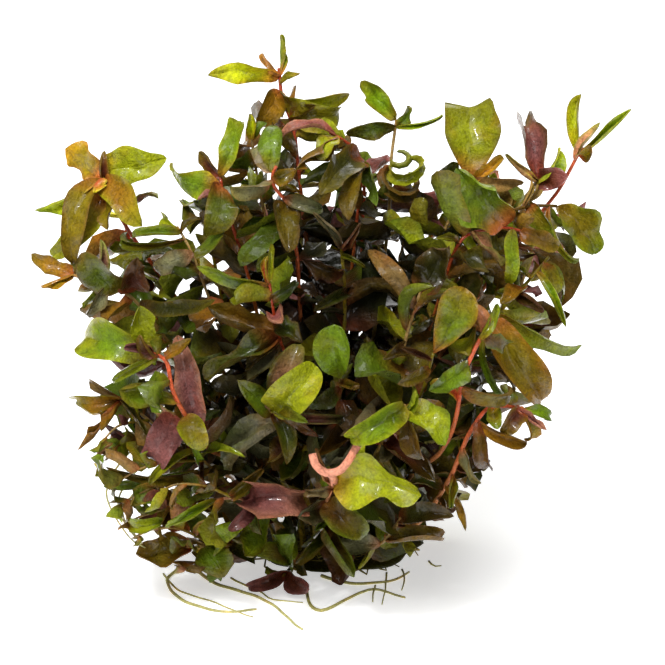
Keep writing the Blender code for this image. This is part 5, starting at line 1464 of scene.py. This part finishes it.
# The side shoots
# Young side shoots at the lower left branch off the stems and carry small close-set leaves.
# They are part of the stem that bears them, and find room before the crowding leaves do.
SIDE_SHOOTS = {
    "left_edge_stem": [
        [(-21, -12.6, 7), (-26, -13.6, 9.5), (-28.8, -15.6, 9.8), (-29.6, -18, 9.4)],
        [(-23, -11, 8), (-26.6, -11.6, 11.5), (-28.6, -13.4, 12)],
    ],
    "purple_leaf_stem": [
        [(-14.5, -17.6, 9.5), (-19.5, -18.6, 12), (-23.5, -19.8, 13), (-26.4, -21.4, 12.4)],
        [(-13, -19, 7), (-19, -21.5, 10), (-24, -23, 10.6), (-26.8, -24.6, 10)],
        [(-16, -16, 12), (-20.4, -16.2, 14.6), (-24, -17, 14.8), (-26.4, -18.4, 14)],
    ],
    "ruffled_leaf_stem": [
        [(-12.5, -20.7, 14.6), (-16, -19.2, 16.8), (-19.5, -19, 17.2), (-22, -20.2, 16.6)],
    ],
    "low_left_stem": [
        [(-14.6, -26.6, 5), (-19, -24.6, 9.4), (-22.4, -24.6, 10.8), (-24.8, -25.6, 10.6)],
        [(-12.4, -26.6, 2), (-16, -29, 6), (-19.4, -29.8, 7.6)],
    ],
}
SIDE_RADIUS = 0.21
SIDE_STEP = 0.6
SIDE_FIRST = 4
SIDE_SWINGS = (0, 25, -25, 50, -50)
SIDE_SWAYS = (0, 30, -30)
SIDE_HABIT = {
    "lift": (0.1, 0.9), "length": (2.6, 5.2), "width": (0.5, 0.8), "cup": (0.4, 1.5),
    "arch": (-0.2, 0.16), "bend": (-0.1, 0.1), "twist": (-40, 40), "crowding": True,
}
SIDE_HUES = ["olive", "lime", "khaki", "green", "ochre", "burgundy", "olive", "salmon", "deep"]
side_lines = {}


def side_hue(_, draw):
    """Any hue of the side shoots."""
    return draw.choice(SIDE_HUES)


for number, (name, shoots) in enumerate(SIDE_SHOOTS.items()):
    draw = random.Random(number)
    side_lines[name] = []
    for seen in shoots:
        points = [place(*spot) for spot in seen]
        points[0] = onto_tube(grown[name][2], points[0])
        line = smooth_run(points, SIDE_STEP)
        side_lines[name].append(line)
        turn = draw.uniform(0, math.pi)
        for i in range(SIDE_FIRST, len(line), 2):
            ahead = (line[i] - line[i - 2]).normalized()
            next_turn = turn + (math.pi / 2 + draw.uniform(-0.5, 0.5))
            pair = grown_pair(line[i], ahead, turn, draw, SIDE_HABIT, side_hue, rooting=0)
            for shape in pair:
                settle(shape, name, SMALL, SIDE_SWINGS, SIDE_SWAYS)
            turn = next_turn

# With the side shoots in place, the other stems' crowding leaves fill the room that is left
for order, first, step, lengths, swings, sways in CROWD_PASSES:
    for name, shape in crowd_rows(order, first, step, lengths):
        settle(shape, name, order, swings, sways)

# The stems and their leaves
# Each shoot is one piece, as it grew: the fine stem, duller at its foot and thinner towards
# its tip, its side shoots, and its blades. At the front one young stem divides into a salmon
# fork below its first pair.
FORK_RADIUS = 0.5
FORK_STEP = 0.5
FORK_HUE = "D08A70"
FORKS = {
    "front_low_stem": [
        [(0.2, -18.9, 20.4), (0.1, -18.2, 22.6), (-0.2, -17.6, 23.6)],
        [
            (-2.5, -15.2, 23.6), (-2.1, -16.5, 23.8), (-0.9, -17.5, 23.6), (0.8, -17.3, 23.8),
            (2.0, -16.0, 24.2), (3.1, -14.1, 24.2),
        ],
    ],
}
FOOT_HUES = {"coral": "khaki", "red": "olive", "khaki": "olive", "olive": "dark", "brown": "dark"}
GRIDS = {SHOWN: (12, 8), FAR: (8, 6), INNER: (8, 6), NARROW: (9, 6), CROWD: (7, 4), SMALL: (5, 4)}
STEM_SLIMNESS = 0.92
STALK_SIDES = 8
FINE_SIDES = 6
SIDE_TAPER = 0.4


def fine_radii(radius, taper, line):
    """The radii along a side shoot or a hanging root, less towards its end."""
    return [radius * (1 - taper * i / len(line)) for i in range(len(line))]


for name, entry in grown.items():
    draw = random.Random(name)
    growth = Growth()
    points = fine_line(entry[2])
    last = len(points) - 1
    radii = [entry[0] * (1 - STEM_TAPER * i / last) * STEM_SLIMNESS for i in range(last + 1)]
    foot_hue = linear(HUES[FOOT_HUES.get(entry[1], "olive")])
    growth.stalk(points, radii, STALK_SIDES, foot_hue, linear(HUES[entry[1]]))
    for line in side_lines.get(name, []):
        radii = fine_radii(SIDE_RADIUS, SIDE_TAPER, line)
        growth.stalk(line, radii, FINE_SIDES, linear(HUES["olive"]), linear(HUES["khaki"]))
    for seen in FORKS.get(name, []):
        line = smooth_run([place(*spot) for spot in seen], FORK_STEP)
        radii = [FORK_RADIUS] * len(line)
        growth.stalk(line, radii, STALK_SIDES, linear(FORK_HUE), linear(FORK_HUE))
    for order, shape in leaves_of[name]:
        growth.blade(shape, *GRIDS[order], draw)
    shoot = growth.finish(f"{name}_shoot")
    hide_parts(name)

# The big leaves
# These grow on the same stems and are kept as pieces of their own, because each is a main
# form of the clump. Each blade's base reaches its stem.
BIG_GRID = (18, 12)
for shape in own_leaves:
    draw = random.Random(shape["own"])
    growth = Growth()
    shape["base"] = shape["stem_spot"]
    growth.blade(shape, *BIG_GRID, draw)
    blade = growth.finish(f"{shape['own']}_blade")
    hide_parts(shape["own"])

# The root crown
# The plants' first roots are matted into a low pad that holds the clump together. It is made
# of wiry threads over a dark felt of fine roots, flat where the clump rests on it.
CROWN_SIZE = (11.5, 9.0)
CROWN_FELT = 0.95
CROWN_MIDDLE = 0.7
CROWN_RISE = 0.75
CROWN_THREADS = 90
THREAD_RISE = 1.3
THREAD_FLOOR = 0.2
THREAD_RADIUS = 0.16
THREAD_STEPS = 8
THREAD_SIDES = 5
crown = Growth()
made = bmesh.ops.create_icosphere(crown.bm, subdivisions=4, radius=1)
draw = random.Random(7)
for vert in made["verts"]:
    x, y, z = vert.co
    swell = 1 + 0.05 * math.sin(7 * x + 3 * y) + 0.04 * math.sin(11 * y - 5 * x)
    vert.co = Vector((
        CROWN_CENTRE.x + x * CROWN_SIZE[0] * CROWN_FELT * swell,
        CROWN_CENTRE.y + y * CROWN_SIZE[1] * CROWN_FELT * swell,
        max(CROWN_MIDDLE + z * CROWN_RISE * swell, 0.0),
    ))
    vert[crown.flesh] = (*linear(HUES["dark"]), 1)
for face in crown.bm.faces:
    face.material_index = 1
for _ in range(CROWN_THREADS):
    start = draw.uniform(0, 2 * math.pi)
    sweep = draw.uniform(0.4, 1.6) * draw.choice((1, -1))
    out = draw.uniform(0.35, 1.0)
    points = []
    radii = []
    for k in range(THREAD_STEPS + 1):
        angle = start + sweep * k / THREAD_STEPS
        wander = out + 0.08 * math.sin(k * 1.7 + start * 5)
        rim = THREAD_RISE * math.sqrt(max(1 - min(wander, 1) ** 2, 0))
        points.append(Vector((
            CROWN_CENTRE.x + CROWN_SIZE[0] * wander * math.cos(angle),
            CROWN_CENTRE.y + CROWN_SIZE[1] * wander * math.sin(angle),
            max(THREAD_FLOOR + rim, THREAD_RADIUS),
        )))
        radii.append(THREAD_RADIUS * (1 - 0.5 * k / THREAD_STEPS))
    hue = mixed(linear(HUES["root"]), linear(HUES["brown"]), draw.uniform(0, 0.8))
    crown.stalk(points, radii, THREAD_SIDES, hue, hue)
crown_piece = crown.finish("root_crown_mat")
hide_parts("root_crown")

# The trailing roots
# Pale, hair-thin roots that trail out from under the clump and lie along the surface, with
# a few short ones branching off.
FINE_ROOT_RADIUS = 0.25
ROOTLET_RADIUS = 0.15
ROOT_STEP = 0.8
ROOT_TAPER = 0.45
ROOT_TIP_HUE = "BEB878"
ROOTS = {
    "root_far_left": [(-19.4, -29.6), (-20.8, -31.2), (-18.4, -33.4), (-14, -34.9), (-9.4, -34.4)],
    "root_left": [(-17.6, -29.4), (-15.2, -31), (-11, -32.4), (-6.6, -34.6), (-3.8, -37)],
    "root_middle": [
        (-3.4, -31.6), (-2.9, -33.4), (-1.9, -34.6), (-0.6, -34.5), (1.6, -33.4), (3.6, -32.4),
        (5.6, -31.9), (9, -33.1),
    ],
    "root_right": [(-1.4, -30.4), (2.4, -31.2), (6, -31.2), (8, -30.8), (9.6, -29.8)],
}
ROOTLETS = [
    [(6.9, -29.9), (6.6, -31.4), (6.2, -33.9)],
    [(5.4, -31.6), (5.0, -32.6), (4.9, -33.7)],
    [(8.6, -29.7), (8.9, -30.8), (8.7, -32.1)],
    [(11.9, -28.7), (12.6, -29.2), (13.6, -29.1)],
    [(-21.2, -30.2), (-18.6, -32.4), (-14.2, -34.0), (-9.8, -35.4)],
    [(-12.6, -30.6), (-9.4, -32.2), (-7.6, -33.4), (-3.6, -33.6)],
]
# Roots from the joints of the left stems, hanging down outside the leaves
HANGING_ROOTS = [
    [
        (-21.4, -12.6, 7.2), (-25.4, -15, 8.6), (-28, -18.8, 9.2), (-27.9, -21.6, 9),
        (-25.4, -25.6, 8.4), (-23.4, -26.9, 7.8),
    ],
    [
        (-19.6, -13.6, 6.4), (-24.6, -17.4, 8.4), (-26.8, -21, 8.8), (-25.9, -24, 8.6),
        (-23.8, -26.4, 8),
    ],
    [(-18.4, -14.6, 6.0), (-23.4, -18.6, 8), (-26.2, -22.4, 8.6), (-24.6, -25.4, 8.4)],
]


def on_surface(across, up, height):
    """The world point at this height over the surface that the eye sees at (across, up)."""
    drop = height - VIEW_CENTRE.z - up * VIEW_UP.z
    near = drop / (VIEW_NEAR.z - up * VIEW_UP.z / VIEW_DISTANCE)
    return place(across, up, near)


def trailing_root(growth, seen, radius, phase):
    """A root along these seen places, wandering a little, thinner towards its end."""
    line = smooth_run([on_surface(across, up, radius) for across, up in seen], ROOT_STEP)
    last = len(line) - 1
    radii = [radius * (1 - ROOT_TAPER * i / last) for i in range(last + 1)]
    for i, point in enumerate(line):
        sway = 0.25 * math.sin(i * 0.4 + phase) + 0.05 * math.sin(i * 1.3 + phase)
        point += Vector((sway * 0.5, sway, 0))
        point.z = radii[i]
    growth.stalk(line, radii, FINE_SIDES, linear(HUES["root"]), linear(ROOT_TIP_HUE))


for number, (name, seen) in enumerate(ROOTS.items()):
    growth = Growth()
    trailing_root(growth, seen, FINE_ROOT_RADIUS, number)
    piece = growth.finish(f"{name}_thread")
    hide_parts(name)
growth = Growth()
for number, seen in enumerate(ROOTLETS):
    trailing_root(growth, seen, ROOTLET_RADIUS, number + len(ROOTS) + 1)
for seen in HANGING_ROOTS:
    line = smooth_run([place(*spot) for spot in seen], ROOT_STEP)
    radii = fine_radii(ROOTLET_RADIUS, SIDE_TAPER, line)
    growth.stalk(line, radii, FINE_SIDES, linear(HUES["root"]), linear(ROOT_TIP_HUE))
growth.finish("rootlets")

# The floor, the light and the look
# A plain pale surface, a broad soft light above and before the clump, a small one for the
# glints, a weak fill, and one behind, so that the far side isn't lost in the dark.
FLOOR_HALF_SIZE = 1.6
LIT_POINT = Vector((0, 0, 0.03))
floor_mesh = bmesh.new()
bmesh.ops.create_grid(floor_mesh, x_segments=1, y_segments=1, size=FLOOR_HALF_SIZE)
mesh = bpy.data.meshes.new("floor")
floor_mesh.to_mesh(mesh)
floor_mesh.free()
floor = bpy.data.objects.new("floor", mesh)
bpy.context.scene.collection.objects.link(floor)
paper = bpy.data.materials.new("pale_paper")
paper.use_nodes = True
for socket, value in (
    ("Base Color", (0.88, 0.88, 0.87, 1)), ("Roughness", 0.8),
    ("Emission Color", (1, 1, 1, 1)), ("Emission Strength", 0.5),
):
    paper.node_tree.nodes["Principled BSDF"].inputs[socket].default_value = value
mesh.materials.append(paper)
floor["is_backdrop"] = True


def soft_light(name, spot, size, watts):
    """A square soft box that faces the clump."""
    lamp = bpy.data.lights.new(name, "AREA")
    lamp.size = size
    lamp.energy = watts
    holder = bpy.data.objects.new(name, lamp)
    holder.location = spot
    aim = LIT_POINT - Vector(spot)
    holder.rotation_euler = aim.to_track_quat("-Z", "Y").to_euler()
    bpy.context.scene.collection.objects.link(holder)


soft_light("key_light", (-0.16, -0.34, 0.76), 0.7, 7.6)
soft_light("glint_light", (-0.22, -0.3, 0.6), 0.07, 2.0)
soft_light("fill_light", (0.45, -0.6, 0.4), 0.4, 1.0)
soft_light("back_light", (0.1, 0.42, 0.6), 0.5, 3.0)
world = bpy.data.worlds.new("studio")
world.use_nodes = True
background = world.node_tree.nodes["Background"]
background.inputs["Color"].default_value = (1, 1, 1, 1)
background.inputs["Strength"].default_value = 0.08
bpy.context.scene.world = world
bpy.context.scene.view_settings.view_transform = "Standard"

dressed_low, dressed_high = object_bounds()
boxes = {
    "cad": [list(cad_low), list(cad_high)],
    "visual": [list(dressed_low), list(dressed_high)],
}
